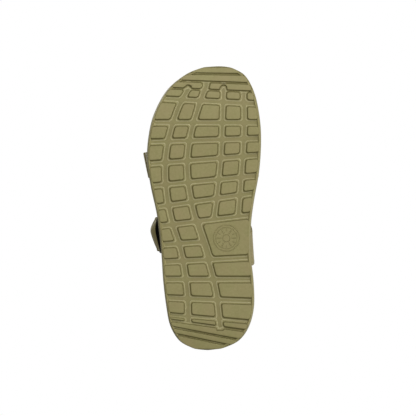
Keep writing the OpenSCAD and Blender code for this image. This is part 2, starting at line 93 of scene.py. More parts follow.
area_light("below_toes", (-0.35, 1.5, -1.4), 0.7, 24)
area_light("below_all", (-0.3, 0.1, -2.2), 1.6, 17)
area_light("below_inner_side", (-1.55, -0.2, -0.5), 0.8, 9)
area_light("above_key", (0.9, 0.7, 1.5), 0.9, 26)
area_light("above_fill", (-1.2, -0.6, 1.2), 1.2, 14)

# %% [markdown]
# ## Materials as expressions
# Shader maths reads best as ordinary Python. The class below wraps one output socket, and
# `a * 2 + b` then adds the Math nodes. Any other node comes from its one method `add`.

# %% A socket that can be used in expressions
class Link:
    """One output socket of a node tree; + - * / on it add Math nodes to the tree."""

    def __init__(self, tree, socket=None):
        self.tree, self.socket = tree, socket

    def add(self, kind, settings=None, inputs=None, output=0):
        """Adds a node of a kind, sets its settings, fills its inputs, and gives one output."""
        node = self.tree.nodes.new(kind)
        for name, value in (settings or {}).items():
            setattr(node, name, value)
        for name, value in (inputs or {}).items():
            if isinstance(value, Link):
                self.tree.links.new(value.socket, node.inputs[name])
            else:
                node.inputs[name].default_value = value
        return Link(self.tree, node.outputs[output])

    def math(self, operation, a, b=0.0):
        """One Math node on two values or links."""
        return self.add("ShaderNodeMath", {"operation": operation}, {0: a, 1: b})

    def __add__(self, other):
        return self.math("ADD", self, other)

    def __sub__(self, other):
        return self.math("SUBTRACT", self, other)

    def __mul__(self, other):
        return self.math("MULTIPLY", self, other)

    def __rsub__(self, other):
        return self.math("SUBTRACT", other, self)

    __radd__ = __add__
    __rmul__ = __mul__

    def wave(self):
        """The sine of the value."""
        return self.math("SINE", self)

    def size(self):
        """The value without its sign."""
        return self.math("ABSOLUTE", self)

    def clamped(self):
        """The value held between 0 and 1."""
        return self.add("ShaderNodeClamp", {}, {"Value": self})


def colour_mix(share, first, second):
    """A colour between two colours, at a share of the way."""
    start = share.add("ShaderNodeMix", {"data_type": "RGBA"})
    node = start.socket.node
    share.tree.links.new(share.socket, node.inputs[0])
    for socket, value in ((node.inputs[6], first), (node.inputs[7], second)):
        if isinstance(value, Link):
            share.tree.links.new(value.socket, socket)
        else:
            socket.default_value = (*value, 1)
    return Link(share.tree, node.outputs[2])


def new_material(name, paint):
    """A material whose surface is painted by a function of (maths, surface shader node)."""
    material = bpy.data.materials.new(name)
    material.use_nodes = True
    tree = material.node_tree
    surface = tree.nodes["Principled BSDF"]
    paint(Link(tree), surface)
    material.diffuse_color = surface.inputs["Base Color"].default_value
    return material


def wire(surface, name, link):
    """Joins a link to one of the surface shader's sockets."""
    link.tree.links.new(link.socket, surface.inputs[name])


def bumped(maths, surface, height, depth_mm):
    """Drives the surface's normal with a height from 0 to 1 that stands for depth_mm."""
    sockets = {"Height": height, "Distance": depth_mm * MM, "Strength": 1.0}
    wire(surface, "Normal", maths.add("ShaderNodeBump", {}, sockets))


def noise(maths, place, scale, detail=3.0, rough=0.5):
    """Cloudy noise about 1 / scale metres across, with finer noise added detail times."""
    sockets = {"Vector": place, "Scale": scale, "Detail": detail, "Roughness": rough}
    return maths.add("ShaderNodeTexNoise", {}, sockets)


def object_place(maths):
    """The place on the object, in metres."""
    return maths.add("ShaderNodeTexCoord", output=3)


def strap_place(maths):
    """The strap's own two coordinates in millimetres: along it and across it."""
    uv = maths.add("ShaderNodeTexCoord", output=2)
    split = maths.add("ShaderNodeSeparateXYZ", {}, {0: uv})
    along = Link(maths.tree, split.socket.node.outputs[0])
    across = Link(maths.tree, split.socket.node.outputs[1])
    return along * PER_METRE, across * PER_METRE


# %% [markdown]
# ### The sole's rubber and foam
# One olive compound makes the whole sole. It isn't one flat colour: the moulding leaves a fine
# grain and cloudy patches, and dust lightens the faces that meet the ground. Shade is painted
# into the roots of the tread blocks, the channels and the seams, and a highlight is painted
# round the blocks' edges. The meshes carry an attribute named `shade` for that: 0 on open
# faces, 1 for painted shade deep in a channel or a seam, and -1 for a painted highlight.

# %% Moulded rubber, foam and footbed
# The deep tones are painted shade for channels, roots and seams; the pale olive is a painted highlight
# round the blocks.
OLIVE = (0.208, 0.187, 0.070)
OLIVE_SHADE = (0.078, 0.067, 0.015)
OLIVE_DUST = (0.246, 0.222, 0.092)
OLIVE_HIGHLIGHT = (0.370, 0.340, 0.185)
OLIVE_BROWN = (0.252, 0.200, 0.094)
FOAM, FOAM_SHADE = (0.200, 0.176, 0.074), (0.098, 0.086, 0.034)


def moulded(base, deep, dust, grain_mm, rough):
    """A painter for moulded rubber or foam in a few tones of one colour.

    Clouds and specks of noise share the base with dust and brown, then the shade attribute
    paints shade into the roots and seams and a highlight onto the edges round the blocks.
    """

    def paint(maths, surface):
        place = object_place(maths)
        cloud = noise(maths, place, 38.0, 4.0)
        warm = noise(maths, place, 55.0, 2.0)
        grain = noise(maths, place, 1500.0, 2.0)
        speck = noise(maths, place, 430.0, 4.0, 0.65)
        shade = maths.add("ShaderNodeAttribute", {"attribute_name": "shade"}, output=2)
        mottled = colour_mix((cloud * 1.6 + speck * 2.6 - 1.65).clamped(), base, dust)
        mottled = colour_mix((warm * 2.4 - 0.9).clamped() * 0.5, mottled, OLIVE_BROWN)
        # Painted shade where the shade attribute is above 0, and a painted highlight where it is below
        # 0.
        toned = colour_mix((shade * 0.85 + grain * 0.12 - 0.04).clamped(), mottled, deep)
        painted_highlight = colour_mix((shade * -1.0).clamped(), toned, OLIVE_HIGHLIGHT)
        wire(surface, "Base Color", painted_highlight)
        wire(surface, "Roughness", cloud * 0.12 + (rough - 0.06))
        bumped(maths, surface, grain, grain_mm)
        surface.inputs["Specular IOR Level"].default_value = 0.32

    return paint


rubber = new_material("olive_rubber", moulded(OLIVE, OLIVE_SHADE, OLIVE_DUST, 0.05, 0.62))
foam = new_material("olive_foam", moulded(FOAM, FOAM_SHADE, OLIVE_DUST, 0.07, 0.72))


def paint_footbed(maths, surface):
    """Foam with small pressed pebbles, and smooth painted shade in the groove of its pressed border and
    at its foot.
    """
    place = object_place(maths)
    cells = {"Vector": place, "Scale": 620.0}
    pebble = maths.add("ShaderNodeTexVoronoi", {"feature": "SMOOTH_F1"}, cells)
    cloud = noise(maths, place, 30.0, 4.0)
    shade = maths.add("ShaderNodeAttribute", {"attribute_name": "shade"}, output=2)
    base = colour_mix((cloud * 1.5 - 0.3).clamped(), (0.196, 0.176, 0.085), (0.232, 0.210, 0.108))
    # painted shade from the shade attribute, plus darker pebble edges
    shade_and_pebbles = (shade + pebble * 0.25).clamped()
    wire(surface, "Base Color", colour_mix(shade_and_pebbles, base, (0.110, 0.098, 0.045)))
    wire(surface, "Roughness", cloud * 0.1 + 0.68)
    bumped(maths, surface, 1.0 - pebble, 0.16)
    surface.inputs["Specular IOR Level"].default_value = 0.3


footbed_foam = new_material("footbed_foam", paint_footbed)
print("sole materials made")

# %% [markdown]
# ### Straps, linings and closures
# The straps are woven: two sets of threads cross, so the height is one set of ridges where
# the other dips. Their pattern follows the strap's own length and width, which the meshes
# carry as a UV map in metres. The lining is a black knitted mesh over foam. A ribbed sleeve
# at the lower end of the instep strap is near-black, as painted shade for the dark hollow
# under the strap there. The closures are a fuzzy loop tape and a rougher hook tape.

# %% Fabrics
STRAP_OLIVE = (0.300, 0.256, 0.105)
STRAP_DARK = (0.168, 0.140, 0.052)


def weave_height(along, across, pitch):
    """Two crossing sets of ridges: |sin| of each direction, swapped in a checker."""
    warp = (along * (np.pi / pitch)).wave()
    weft = (across * (np.pi / pitch)).wave()
    swap = (warp * weft * 6.0 + 0.5).clamped()
    return warp.size() * swap + weft.size() * (1.0 - swap)


def woven(light, dark, pitch, depth_mm, rough):
    """A painter for plain-woven cloth with a thread pitch in millimetres."""

    def paint(maths, surface):
        along, across = strap_place(maths)
        threads = weave_height(along, across, pitch)
        cloud = noise(maths, object_place(maths), 60.0, 4.0)
        share = (1.15 - threads * 0.9 + (cloud - 0.5) * 0.6).clamped()
        wire(surface, "Base Color", colour_mix(share, light, dark))
        wire(surface, "Roughness", cloud * 0.15 + (rough - 0.07))
        bumped(maths, surface, threads, depth_mm)
        surface.inputs["Sheen Weight"].default_value = 0.1
        surface.inputs["Specular IOR Level"].default_value = 0.25

    return paint


strap_cloth = new_material("strap_cloth", woven(STRAP_OLIVE, STRAP_DARK, 1.4, 0.22, 0.8))


def paint_lining(maths, surface):
    """Black spacer mesh: round holes in a knitted face."""
    place = object_place(maths)
    holes = maths.add("ShaderNodeTexVoronoi", {"feature": "F1"}, {"Vector": place, "Scale": 560.0})
    fibre = noise(maths, place, 2600.0, 2.0)
    open_share = (1.4 - holes * 2.4).clamped() * 0.8
    wire(surface, "Base Color", colour_mix(open_share, (0.020, 0.020, 0.019), (0.006, 0.006, 0.006)))
    wire(surface, "Roughness", fibre * 0.1 + 0.82)
    bumped(maths, surface, holes + fibre * 0.2, 0.25)
    surface.inputs["Sheen Weight"].default_value = 0.15
    surface.inputs["Specular IOR Level"].default_value = 0.2


def paint_loops(maths, surface):
    """The fuzzy half of the closure: short felted loops."""
    place = object_place(maths)
    fuzz = noise(maths, place, 1900.0, 5.0, 0.7)
    tufts = noise(maths, place, 420.0, 3.0)
    wire(surface, "Base Color", colour_mix(fuzz * 0.6 + tufts * 0.4, STRAP_DARK, (0.185, 0.165, 0.085)))
    bumped(maths, surface, fuzz + tufts, 0.35)
    surface.inputs["Roughness"].default_value = 0.95
    surface.inputs["Sheen Weight"].default_value = 0.5


def paint_hooks(maths, surface):
    """The hook half: rows of small stiff hooks on a woven tape."""
    along, across = strap_place(maths)
    rows = (along * (np.pi / 0.8)).wave().size() * (across * (np.pi / 0.8)).wave().size()
    wire(surface, "Base Color", colour_mix(rows, (0.050, 0.045, 0.022), (0.150, 0.135, 0.070)))
    bumped(maths, surface, rows, 0.4)
    surface.inputs["Roughness"].default_value = 0.6


def paint_shade_sleeve(maths, surface):
    """Near-black ribbed knit round the strap's lower end: its colour is painted shade for the hollow
    under it.
    """
    along, across = strap_place(maths)
    ribs = (across * (np.pi / 1.1)).wave().size()
    wire(surface, "Base Color", colour_mix(ribs, (0.0015, 0.0014, 0.0010), (0.0045, 0.0042, 0.0030)))
    bumped(maths, surface, ribs, 0.12)
    surface.inputs["Roughness"].default_value = 0.95
    surface.inputs["Specular IOR Level"].default_value = 0.05


lining_mesh = new_material("lining_mesh", paint_lining)
shade_sleeve_knit = new_material("shade_sleeve_knit", paint_shade_sleeve)
loop_tape = new_material("loop_tape", paint_loops)
hook_tape = new_material("hook_tape", paint_hooks)

# %% [markdown]
# ### Rings, pulls, thread and the shank
# The rings are lacquered wire, so they keep a soft gloss with fine scuffs. The pulls are
# small moulded grips. The sewing thread is a slightly paler olive, and it shines a little.

# %% Hard finishes
def paint_lacquer(maths, surface):
    """Dark lacquer on wire, worn to a paler tone where the scuffs are deepest."""
    place = object_place(maths)
    scuff = noise(maths, place, 900.0, 6.0, 0.7)
    worn = ((scuff - 0.62) * 8.0).clamped()
    wire(surface, "Base Color", colour_mix(worn * 0.5, (0.060, 0.056, 0.034), (0.190, 0.180, 0.130)))
    wire(surface, "Roughness", scuff * 0.3 + 0.22)
    bumped(maths, surface, scuff, 0.02)
    surface.inputs["Metallic"].default_value = 0.55
    surface.inputs["Coat Weight"].default_value = 0.25


def paint_thread(maths, surface):
    """Pale twisted thread."""
    place = object_place(maths)
    twist = noise(maths, place, 2400.0, 2.0)
    wire(surface, "Base Color", colour_mix(twist, (0.260, 0.235, 0.125), (0.330, 0.300, 0.175)))
    bumped(maths, surface, twist, 0.05)
    surface.inputs["Roughness"].default_value = 0.55


def paint_nylon(maths, surface):
    """Near-black nylon with a faint grain of glass fibre."""
    glass = noise(maths, object_place(maths), 700.0, 3.0)
    wire(surface, "Base Color", colour_mix(glass, (0.012, 0.012, 0.012), (0.035, 0.035, 0.035)))
    wire(surface, "Roughness", glass * 0.2 + 0.4)
    bumped(maths, surface, glass, 0.03)


lacquer = new_material("ring_lacquer", paint_lacquer)
thread = new_material("sewing_thread", paint_thread)
nylon = new_material("shank_nylon", paint_nylon)
GRIP, GRIP_DEEP, GRIP_DUST = (0.085, 0.077, 0.038), (0.040, 0.036, 0.017), (0.110, 0.100, 0.052)
grip = new_material("pull_rubber", moulded(GRIP, GRIP_DEEP, GRIP_DUST, 0.04, 0.5))
print("materials:", len(bpy.data.materials))

# %% [markdown]
# ## Making meshes from grids
# Every surface below is an array of points on a grid, worked out at once with numpy. A grid
# may close on itself in one or both directions, and may be capped at its ends. A closed part
# is turned inside out if its volume comes out negative, so all faces point outwards.

# %% Grids to meshes
def unit(v):
    """Vectors divided by their own lengths."""
    return v / np.linalg.norm(v, axis=-1, keepdims=True)


def ease(t):
    """The smooth step 3t^2 - 2t^3, held at 0 and 1 outside the range."""
    t = np.clip(t, 0, 1)
    return t * t * (3 - 2 * t)


def grid_quads(rows, columns, wrap_rows=False, wrap_columns=False):
    """The quads of a grid whose point (i, j) has the number i * columns + j."""
    i = np.arange(rows if wrap_rows else rows - 1)[:, None]
    j = np.arange(columns if wrap_columns else columns - 1)[None, :]
    down, right = (i + 1) % rows, (j + 1) % columns
    quads = [i * columns + j, i * columns + right, down * columns + right, down * columns + j]
    return np.stack(np.broadcast_arrays(*quads), -1).reshape(-1, 4)


def end_caps(rows, columns):
    """The two flat faces that close a grid whose rows are rings."""
    first = np.arange(columns)
    return [first[None, ::-1], (rows - 1) * columns + first[None]]


def strips(first, half):
    """Quads that join the two sides of a ring of 2 * half points that starts at a number."""
    i = np.arange(half - 1)
    other = 2 * half - 1 - i
    return first + np.stack([i, i + 1, other - 1, other], -1)


def volume_of(points, faces):
    """Six times the signed volume, from the triangles of each face's fan."""
    total = 0.0
    for face_set in faces:
        f = np.asarray(face_set)
        for k in range(1, f.shape[1] - 1):
            a, b, c = points[f[:, 0]], points[f[:, k]], points[f[:, k + 1]]
            total += np.einsum("ij,ij->", a, np.cross(b, c))
    return total


def part(points, faces, uv=None, shade=None):
    """A closed part: its points, its faces turned outwards, and what its points carry."""
    points = np.asarray(points, float).reshape(-1, 3)
    faces = [np.asarray(f) for f in faces if len(f)]
    if volume_of(points, faces) < 0:
        faces = [f[:, ::-1] for f in faces]
    uv = np.zeros((len(points), 2)) if uv is None else np.asarray(uv, float).reshape(-1, 2)
    shade = np.zeros(len(points)) if shade is None else np.asarray(shade, float).ravel()
    return points, faces, uv, shade


def make_piece(name, parts, material, body, nodes=()):
    """One object from closed parts, in millimetres. It rides on a body and may stand for nodes."""
    points, uvs, shades, faces, start = [], [], [], [], 0
    for p, f, uv, shade in parts:
        points.append(p)
        uvs.append(uv)
        shades.append(shade)
        faces += [row for face_set in f for row in (face_set + start).tolist()]
        start += len(p)
    mesh = bpy.data.meshes.new(name)
    mesh.from_pydata((np.concatenate(points) * MM).tolist(), [], faces)
    corner = np.zeros(len(mesh.loops), int)
    mesh.loops.foreach_get("vertex_index", corner)
    uv_layer = mesh.uv_layers.new(name="along_across")
    uv_layer.data.foreach_set("uv", (np.concatenate(uvs) * MM)[corner].ravel())
    mesh.attributes.new("shade", "FLOAT", "POINT").data.foreach_set("value", np.concatenate(shades))
    mesh.polygons.foreach_set("use_smooth", np.ones(len(mesh.polygons), bool))
    mesh.materials.append(material)
    mesh.validate()
    piece = bpy.data.objects.new(name, mesh)
    bpy.context.collection.objects.link(piece)
    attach(piece, body)
    if nodes:
        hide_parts(*nodes)
    print(f"{name}: {len(mesh.vertices)} points, {len(mesh.polygons)} faces")
    return piece


# %% [markdown]
# ## The sole's outline
# Both edges of the sole are smooth curves through a few given points, from the back of the
# heel to the tip of the toe. Every shape of the sole is a ring of edge points that is moved
# inwards, toward the sole's middle line, and up.

# %% Outline and heights, in millimetres
HEEL_Y, TOE_Y = -141.8, 142.6
OUTER_EDGE = np.array([
    [-4, HEEL_Y], [4, -141.2], [12, -139.5], [25, -132], [34, -117], [38, -97], [41, -72], [43, -43],
    [47, -8], [53, 20], [57, 46], [56, 70], [50.5, 94], [37.6, 118], [19.5, 133.6], [3, 140.8],
    [-7, 142.2], [-15, TOE_Y],
])
INNER_EDGE = np.array([
    [-4, HEEL_Y], [-12, -140.9], [-20, -139.4], [-35, -132], [-45, -118], [-50, -98], [-49.5, -72],
    [-46.5, -44], [-47, -16], [-50, 8], [-55, 36], [-57, 64], [-56, 88], [-51, 114], [-41.8, 132.3],
    [-30, 140], [-22, 142.1], [-15, TOE_Y],
])
LUG_H, SHEET_H = 2.0, 2.0
HEEL_TOP, FORE_TOP = 24.0, 16.0
RAMP_START, RAMP_LENGTH = -70, 110
MID_SPRING = 0.8
SPINE_HEEL_Y, SPINE_TOE_Y = -94, 84
MOST_INSET = 0.96
TOE_START, TOE_SPRING = 78.0, 13.0
HEEL_START, HEEL_BEVEL = -106.0, 4.0
BED_H, HEEL_CUP = 5.0, 9.0


def curve_at(points, t):
    """A smooth curve through points: on each span, the cubic whose slopes come from neighbours.

    The whole part of t is the span's number, and the rest is the place along the span.
    """
    points = np.asarray(points, float)
    last = len(points) - 1
    t = np.asarray(t, float)
    i = np.clip(np.floor(t).astype(int), 0, last - 1)
    u = (t - i)[..., None]
    a, b, c, d = (points[np.clip(i + k, 0, last)] for k in (-1, 0, 1, 2))
    return b + 0.5 * u * ((c - a) + u * ((2 * a - 5 * b + 4 * c - d) + u * (3 * b - a - 3 * c + d)))


def edge_x(edge, y):
    """How far out an edge of the sole is at y."""
    dense = curve_at(edge, np.linspace(0, len(edge) - 1, 20 * (len(edge) - 1) + 1))
    return np.interp(y, dense[:, 1], dense[:, 0])


def arc_rise(run, reach, lift):
    """The height of a circular arc that leaves the ground at 0 and reaches lift at reach."""
    r = (reach**2 + lift**2) / (2 * lift)
    run = np.maximum(run, 0)
    return r - np.sqrt(r * r - np.minimum(run, reach) ** 2)


def rise(y):
    """How high the ground side of the sole has curled up at y."""
    toe = arc_rise(y - TOE_START, TOE_Y - TOE_START, TOE_SPRING)
    return toe + arc_rise(HEEL_START - y, HEEL_START - HEEL_Y, HEEL_BEVEL)


def mid_top(y):
    """The height of the midsole's top at y."""
    slope = HEEL_TOP + (FORE_TOP - HEEL_TOP) * ease((y - RAMP_START) / RAMP_LENGTH)
    return slope + MID_SPRING * arc_rise(y - TOE_START, TOE_Y - TOE_START, TOE_SPRING)


STATIONS = 130
station_y = HEEL_Y + (TOE_Y - HEEL_Y) * (1 - np.cos(np.pi * (np.arange(STATIONS) + 0.5) / STATIONS)) / 2
outer_side = np.stack([edge_x(OUTER_EDGE, station_y), station_y], -1)
inner_side = np.stack([edge_x(INNER_EDGE, station_y), station_y], -1)
edge_ring = np.concatenate([outer_side, inner_side[::-1]])


def spine(y):
    """The point of the sole's middle line nearest to y; the line ends short of heel and toe."""
    y = np.clip(y, SPINE_HEEL_Y, SPINE_TOE_Y)
    return np.stack([(edge_x(OUTER_EDGE, y) + edge_x(INNER_EDGE, y)) / 2, y], -1)


def inset(points, distance):
    """Points moved toward the middle line by a distance, and never quite onto it."""
    way = spine(points[:, 1]) - points
    reach = np.linalg.norm(way, axis=-1, keepdims=True)
    return points + way * np.minimum(distance / reach, MOST_INSET)


def ring_body(levels):
    """A closed solid from levels of (inset, height function of (ring, inset ring), shade)."""
    rings, shades = [], []
    for distance, height, shade in levels:
        moved = inset(edge_ring, distance)
        rings.append(np.column_stack([moved, height(edge_ring, moved)]))
        shades.append(np.full(len(edge_ring), shade))
    n = len(edge_ring)
    quads = grid_quads(len(rings), n, wrap_columns=True)
    bottom = strips(0, n // 2)[:, ::-1]
    top = strips((len(rings) - 1) * n, n // 2)
    return part(np.concatenate(rings), [quads, bottom, top], shade=np.concatenate(shades))


print("sole outline:", len(edge_ring), "points;", round(TOE_Y - HEEL_Y, 1), "mm long")

# %% [markdown]
# ## The tread
# The tread is a sheet with raised blocks. Four curved channels run lengthwise and a dozen
# slanting ones cross them, and each block fills one cell between them. So a block is one
# function: a rounded square in two parameters, bent to fit its cell. Its rings go from a
# flared root up a steep wall and over a small edge radius onto the flat face.

# %% Channels
CHANNEL_1 = np.array([
    [16, 120], [27, 98], [36, 68], [39, 34], [34, -6], [23, -44], [17, -82], [16, -115],
], float)
CHANNEL_2 = np.array([
    [-2, 123], [5, 104], [14, 72], [17, 38], [11, -2], [-2, -44], [-12, -84], [-16, -121],
], float)
CHANNEL_3 = np.array([[-19.5, 121.5], [-18.5, 96], [-17, 58], [-13.5, 20], [-10, -10]], float)
CHANNEL_4 = np.array([[-39.5, 112], [-40, 80], [-38, 44], [-34, -8]], float)
LONG_W = 8.0
RIM_W, RIM_THINS_AT, RIM_THINS_OVER = 2.6, 105, 30
LIP_OVERLAP = 0.6


def rim_at(y):
    """The plain rim outside the blocks, which thins to half toward the toe and the heel."""
    return RIM_W * (1 - 0.5 * ease((np.abs(y) - RIM_THINS_AT) / RIM_THINS_OVER))


def channel_x(channel):
    """A function that gives a channel's middle at y."""
    dense = curve_at(channel, np.linspace(0, len(channel) - 1, 12 * (len(channel) - 1) + 1))[::-1]
    return lambda y: np.interp(y, dense[:, 1], dense[:, 0])


# Lengthwise walls: each has a middle line and half a width. The two outermost walls have a
# negative width, so the blocks beside them run into the sheet's lip.
outer_wall = (lambda y: edge_x(OUTER_EDGE, y) - rim_at(y), -LIP_OVERLAP)
inner_wall = (lambda y: edge_x(INNER_EDGE, y) + rim_at(y), -LIP_OVERLAP)
wall_1 = (channel_x(CHANNEL_1), LONG_W / 2)
wall_2 = (channel_x(CHANNEL_2), LONG_W / 2)
wall_3 = (channel_x(CHANNEL_3), LONG_W / 2 - 0.35)
wall_4 = (channel_x(CHANNEL_4), LONG_W / 2 - 0.2)
panel_wall = (lambda y: channel_x(CHANNEL_2)(y) - 1.0, LONG_W / 2 + 1.0)

# Cross channels from the toe to the heel: the place on the middle, the slant and the width
TOE_EDGE = (TOE_Y - 1.2, 0.0, 0.0)
HEEL_EDGE = (HEEL_Y + 1.2, 0.0, 0.0)
GROOVE, CROSS_W = 2.4, 7.4
TOE_GROOVES = [(134.9, 0.015, GROOVE), (126.9, 0.0375, GROOVE), (118.9, 0.045, GROOVE)]
CROSS = [
    (107.4, 0.05, CROSS_W), (85.7, 0.0, CROSS_W), (68.2, -0.035, CROSS_W), (48.8, -0.08, CROSS_W),
    (27.5, -0.1, CROSS_W), (8.1, -0.14, CROSS_W), (-12.3, -0.12, CROSS_W),
]
WAIST_CROSS = (-33.5, -0.07, CROSS_W)
HEEL_CROSS = [
    (-51.6, -0.05, CROSS_W), (-71.0, 0.0, CROSS_W), (-91.0, 0.04, CROSS_W), (-109.3, 0.09, 5.0),
    (-116.5, 0.14, 3.1), (-124.7, 0.19, GROOVE), (-131.7, 0.21, GROOVE), HEEL_EDGE,
]

# %% One block
BLOCK_SIDE = 12
# The shade column is painted light and shade: positive values darken the wall and its root, negative
# values paint a highlight on the flare round the block.
BLOCK_RINGS = [  # how far out from the face's edge, how far above the ground, and the shade
    (2.35, LUG_H + 0.2, 0.0), (2.2, LUG_H - 0.1, -0.7), (1.95, LUG_H - 0.26, -0.9),
    (1.65, LUG_H - 0.24, -0.3), (1.3, LUG_H - 0.16, 0.0), (0.95, LUG_H - 0.25, 0.0),
    (0.62, LUG_H - 0.75, 0.45), (0.38, 0.8, 0.95), (0.15, 0.32, 1.0), (-0.08, 0.1, 0.8),
    (-0.4, 0.0, 0.05), (-1.5, 0.0, 0.0),
]
FACE_BELOW = 1.2
MOST_SHRINK = 0.7
SETTLE_ROUNDS = 8
KEEP_FROM_ENDS, KEEP_FROM_SIDES = 0.9, 0.95

# The end of a stopped channel: the power of its nose, and its length in half widths
ROUND_NOSE = (0.5, 1.0)
BLUNT_NOSE = (0.16, 0.45)


def rounded_square(corner_x, corner_y, side):
    """Points round a square from -1 to 1 whose corners are quarter ellipses of the given radii."""
    turn = np.linspace(0, np.pi / 2, 7)
    run = np.linspace(0, 1, side)[1:-1]
    points = []
    for quarter, (sx, sy) in enumerate([(1, 1), (-1, 1), (-1, -1), (1, -1)]):
        angle = turn + quarter * np.pi / 2
        centre = np.array([sx * (1 - corner_x), sy * (1 - corner_y)])
        arc = centre + np.stack([np.cos(angle) * corner_x, np.sin(angle) * corner_y], -1)
        points.append(arc)
        nx, ny = [(-1, 1), (-1, -1), (1, -1), (1, 1)][quarter]
        after = np.array([nx * (1 - corner_x), ny * (1 - corner_y)]) + (
            np.stack([np.cos(angle[-1:]) * corner_x, np.sin(angle[-1:]) * corner_y], -1)[0]
        )
        points.append(arc[-1] + (after - arc[-1]) * run[:, None])
    return np.concatenate(points)


def block(left, right, top, bottom, corner=2.0, lift=0.0, notch=None, side=BLOCK_SIDE):
    """One tread block in the cell between two lengthwise walls and two cross channels.

    A point (s, t) of the square goes to x = a mix of the two walls at its y, and y = a mix of
    the two channels' edges at its x. A few rounds of both settle on the crossing. A notch is
    the end of a lengthwise channel that stops inside the block: its middle line, its half
    width, where it ends, whether it comes from the toe side (1) or the heel side (-1), and
    its nose. Near a notch the edge follows (1 - (x / half width)^2)^power.
    """
    mid_y = (top[0] + bottom[0]) / 2
    half_x = abs((right[0](mid_y) - right[1]) - (left[0](mid_y) + left[1])) / 2
    half_y = abs(top[0] - top[2] / 2 - bottom[0] - bottom[2] / 2) / 2
    half_x, half_y = max(half_x, 1.0), max(half_y, 1.0)
    square = rounded_square(min(corner / half_x, 0.9), min(corner / half_y, 0.9), side)
    rings, shades = [], []
    for out, height, shade in BLOCK_RINGS:
        out = max(out, -MOST_SHRINK * half_y)
        s = square[:, 0] * (1 + out / half_x)
        t = square[:, 1] * (1 + out / half_y)
        x = np.full(len(s), 0.0)
        y = np.full(len(s), mid_y)
        for _ in range(SETTLE_ROUNDS):
            x_low, x_high = left[0](y) + left[1], right[0](y) - right[1]
            x = x_low + (x_high - x_low) * (s + 1) / 2
            y_low = bottom[0] + bottom[1] * x + bottom[2] / 2
            y_high = top[0] + top[1] * x - top[2] / 2
            if notch:
                line, half, end, from_side, (power, length) = notch
                nose = np.clip(1 - ((x - line(end)) / (half - out)) ** 2, 0, 1) ** power
                cut = end - from_side * (half - out) * nose * length
                if from_side < 0:
                    y_low = np.where(nose > 0, np.maximum(cut, y_low), y_low)
                else:
                    y_high = np.where(nose > 0, np.minimum(cut, y_high), y_high)
            y = y_low + (y_high - y_low) * (t + 1) / 2
        y = np.clip(y, HEEL_Y + KEEP_FROM_ENDS, TOE_Y - KEEP_FROM_ENDS)
        inner_x, outer_x = edge_x(INNER_EDGE, y), edge_x(OUTER_EDGE, y)
        x = np.clip(x, inner_x + KEEP_FROM_SIDES, outer_x - KEEP_FROM_SIDES)
        rings.append(np.column_stack([x, y, height + rise(y) + (lift if height < FACE_BELOW else 0.0)]))
        shades.append(np.full(len(s), shade))
    n = len(square)
    quads = grid_quads(len(rings), n, wrap_columns=True)
    return part(np.concatenate(rings), [quads, *end_caps(len(rings), n)], shade=np.concatenate(shades))


# %% All the blocks
# Walls are given from the inner side, which has the lower x, to the outer side.
full = [inner_wall, outer_wall]
heel_walls = [inner_wall, wall_2, wall_1, outer_wall]
ball_walls = [inner_wall, wall_4, wall_3, wall_2, wall_1, outer_wall]
waist_walls = [wall_2, wall_1, outer_wall]

rows = [
    (TOE_EDGE, TOE_GROOVES[0], full), (TOE_GROOVES[0], TOE_GROOVES[1], full),
    (TOE_GROOVES[2], CROSS[0], ball_walls),
    *[(CROSS[i], CROSS[i + 1], ball_walls) for i in range(6)],
    (CROSS[6], WAIST_CROSS, waist_walls), (WAIST_CROSS, HEEL_CROSS[0], waist_walls),
    *[(HEEL_CROSS[i], HEEL_CROSS[i + 1], heel_walls) for i in range(4)],
    (HEEL_CROSS[5], HEEL_CROSS[6], full), (HEEL_CROSS[6], HEEL_CROSS[7], full),
]
blocks = [
    block(left, right, top, bottom)
    for top, bottom, walls in rows
    for left, right in zip(walls, walls[1:])
]
PANEL_LIFT = 0.32
blocks.append(block(inner_wall, panel_wall, CROSS[6], HEEL_CROSS[0], corner=3.0, lift=PANEL_LIFT))

# Three blocks have a channel's end in them
toe_row, heel_row = (TOE_GROOVES[1], TOE_GROOVES[2]), (HEEL_CROSS[4], HEEL_CROSS[5])
notch_1 = (wall_1[0], wall_1[1], 120.0, -1, ROUND_NOSE)
notch_3 = (wall_3[0], wall_3[1], 120.4, -1, ROUND_NOSE)
notch_2 = (wall_2[0], wall_2[1], -120.6, 1, BLUNT_NOSE)
blocks.append(block(wall_2, outer_wall, *toe_row, notch=notch_1, side=90))
blocks.append(block(inner_wall, wall_2, *toe_row, notch=notch_3, side=90))
blocks.append(block(inner_wall, outer_wall, *heel_row, notch=notch_2, side=160))
print("tread blocks:", len(blocks))

# %% [markdown]
# ### The roundel
# The waist panel is a flat field with a shallow moulded mark. This one is a plain geometric
# sign: two raised rings and six short spokes. Each ring is a half-round ridge turned about
# the roundel's centre, and stands no lower than the blocks' faces.

# %% Roundel
ROUNDEL_AT = np.array([-22.5, -29.5])


def ridge_shade(z, height):
    """Darker at a ridge's foot, open on its crown."""
    return 0.75 * np.clip(1 - (PANEL_LIFT - z) / height, 0, 1)


def ridge_ring(radius, width, height):
    """A low ridge turned about the roundel's centre: a half sine over its width."""
    turn = np.linspace(0, 2 * np.pi, 96, endpoint=False)
    across = np.linspace(-0.5, 0.5, 7)
    low = PANEL_LIFT - height * np.cos(np.pi * across)
    profile_r = np.concatenate([radius + across * width, [radius + width / 2, radius - width / 2]])
    profile_z = np.concatenate([low, [PANEL_LIFT + 0.4, PANEL_LIFT + 0.4]])
    x = ROUNDEL_AT[0] + np.outer(np.cos(turn), profile_r)
    y = ROUNDEL_AT[1] + np.outer(np.sin(turn), profile_r)
    z = np.broadcast_to(profile_z, x.shape)
    quads = grid_quads(*x.shape, wrap_rows=True, wrap_columns=True)
    return part(np.stack([x, y, z], -1), [quads], shade=ridge_shade(z, height))


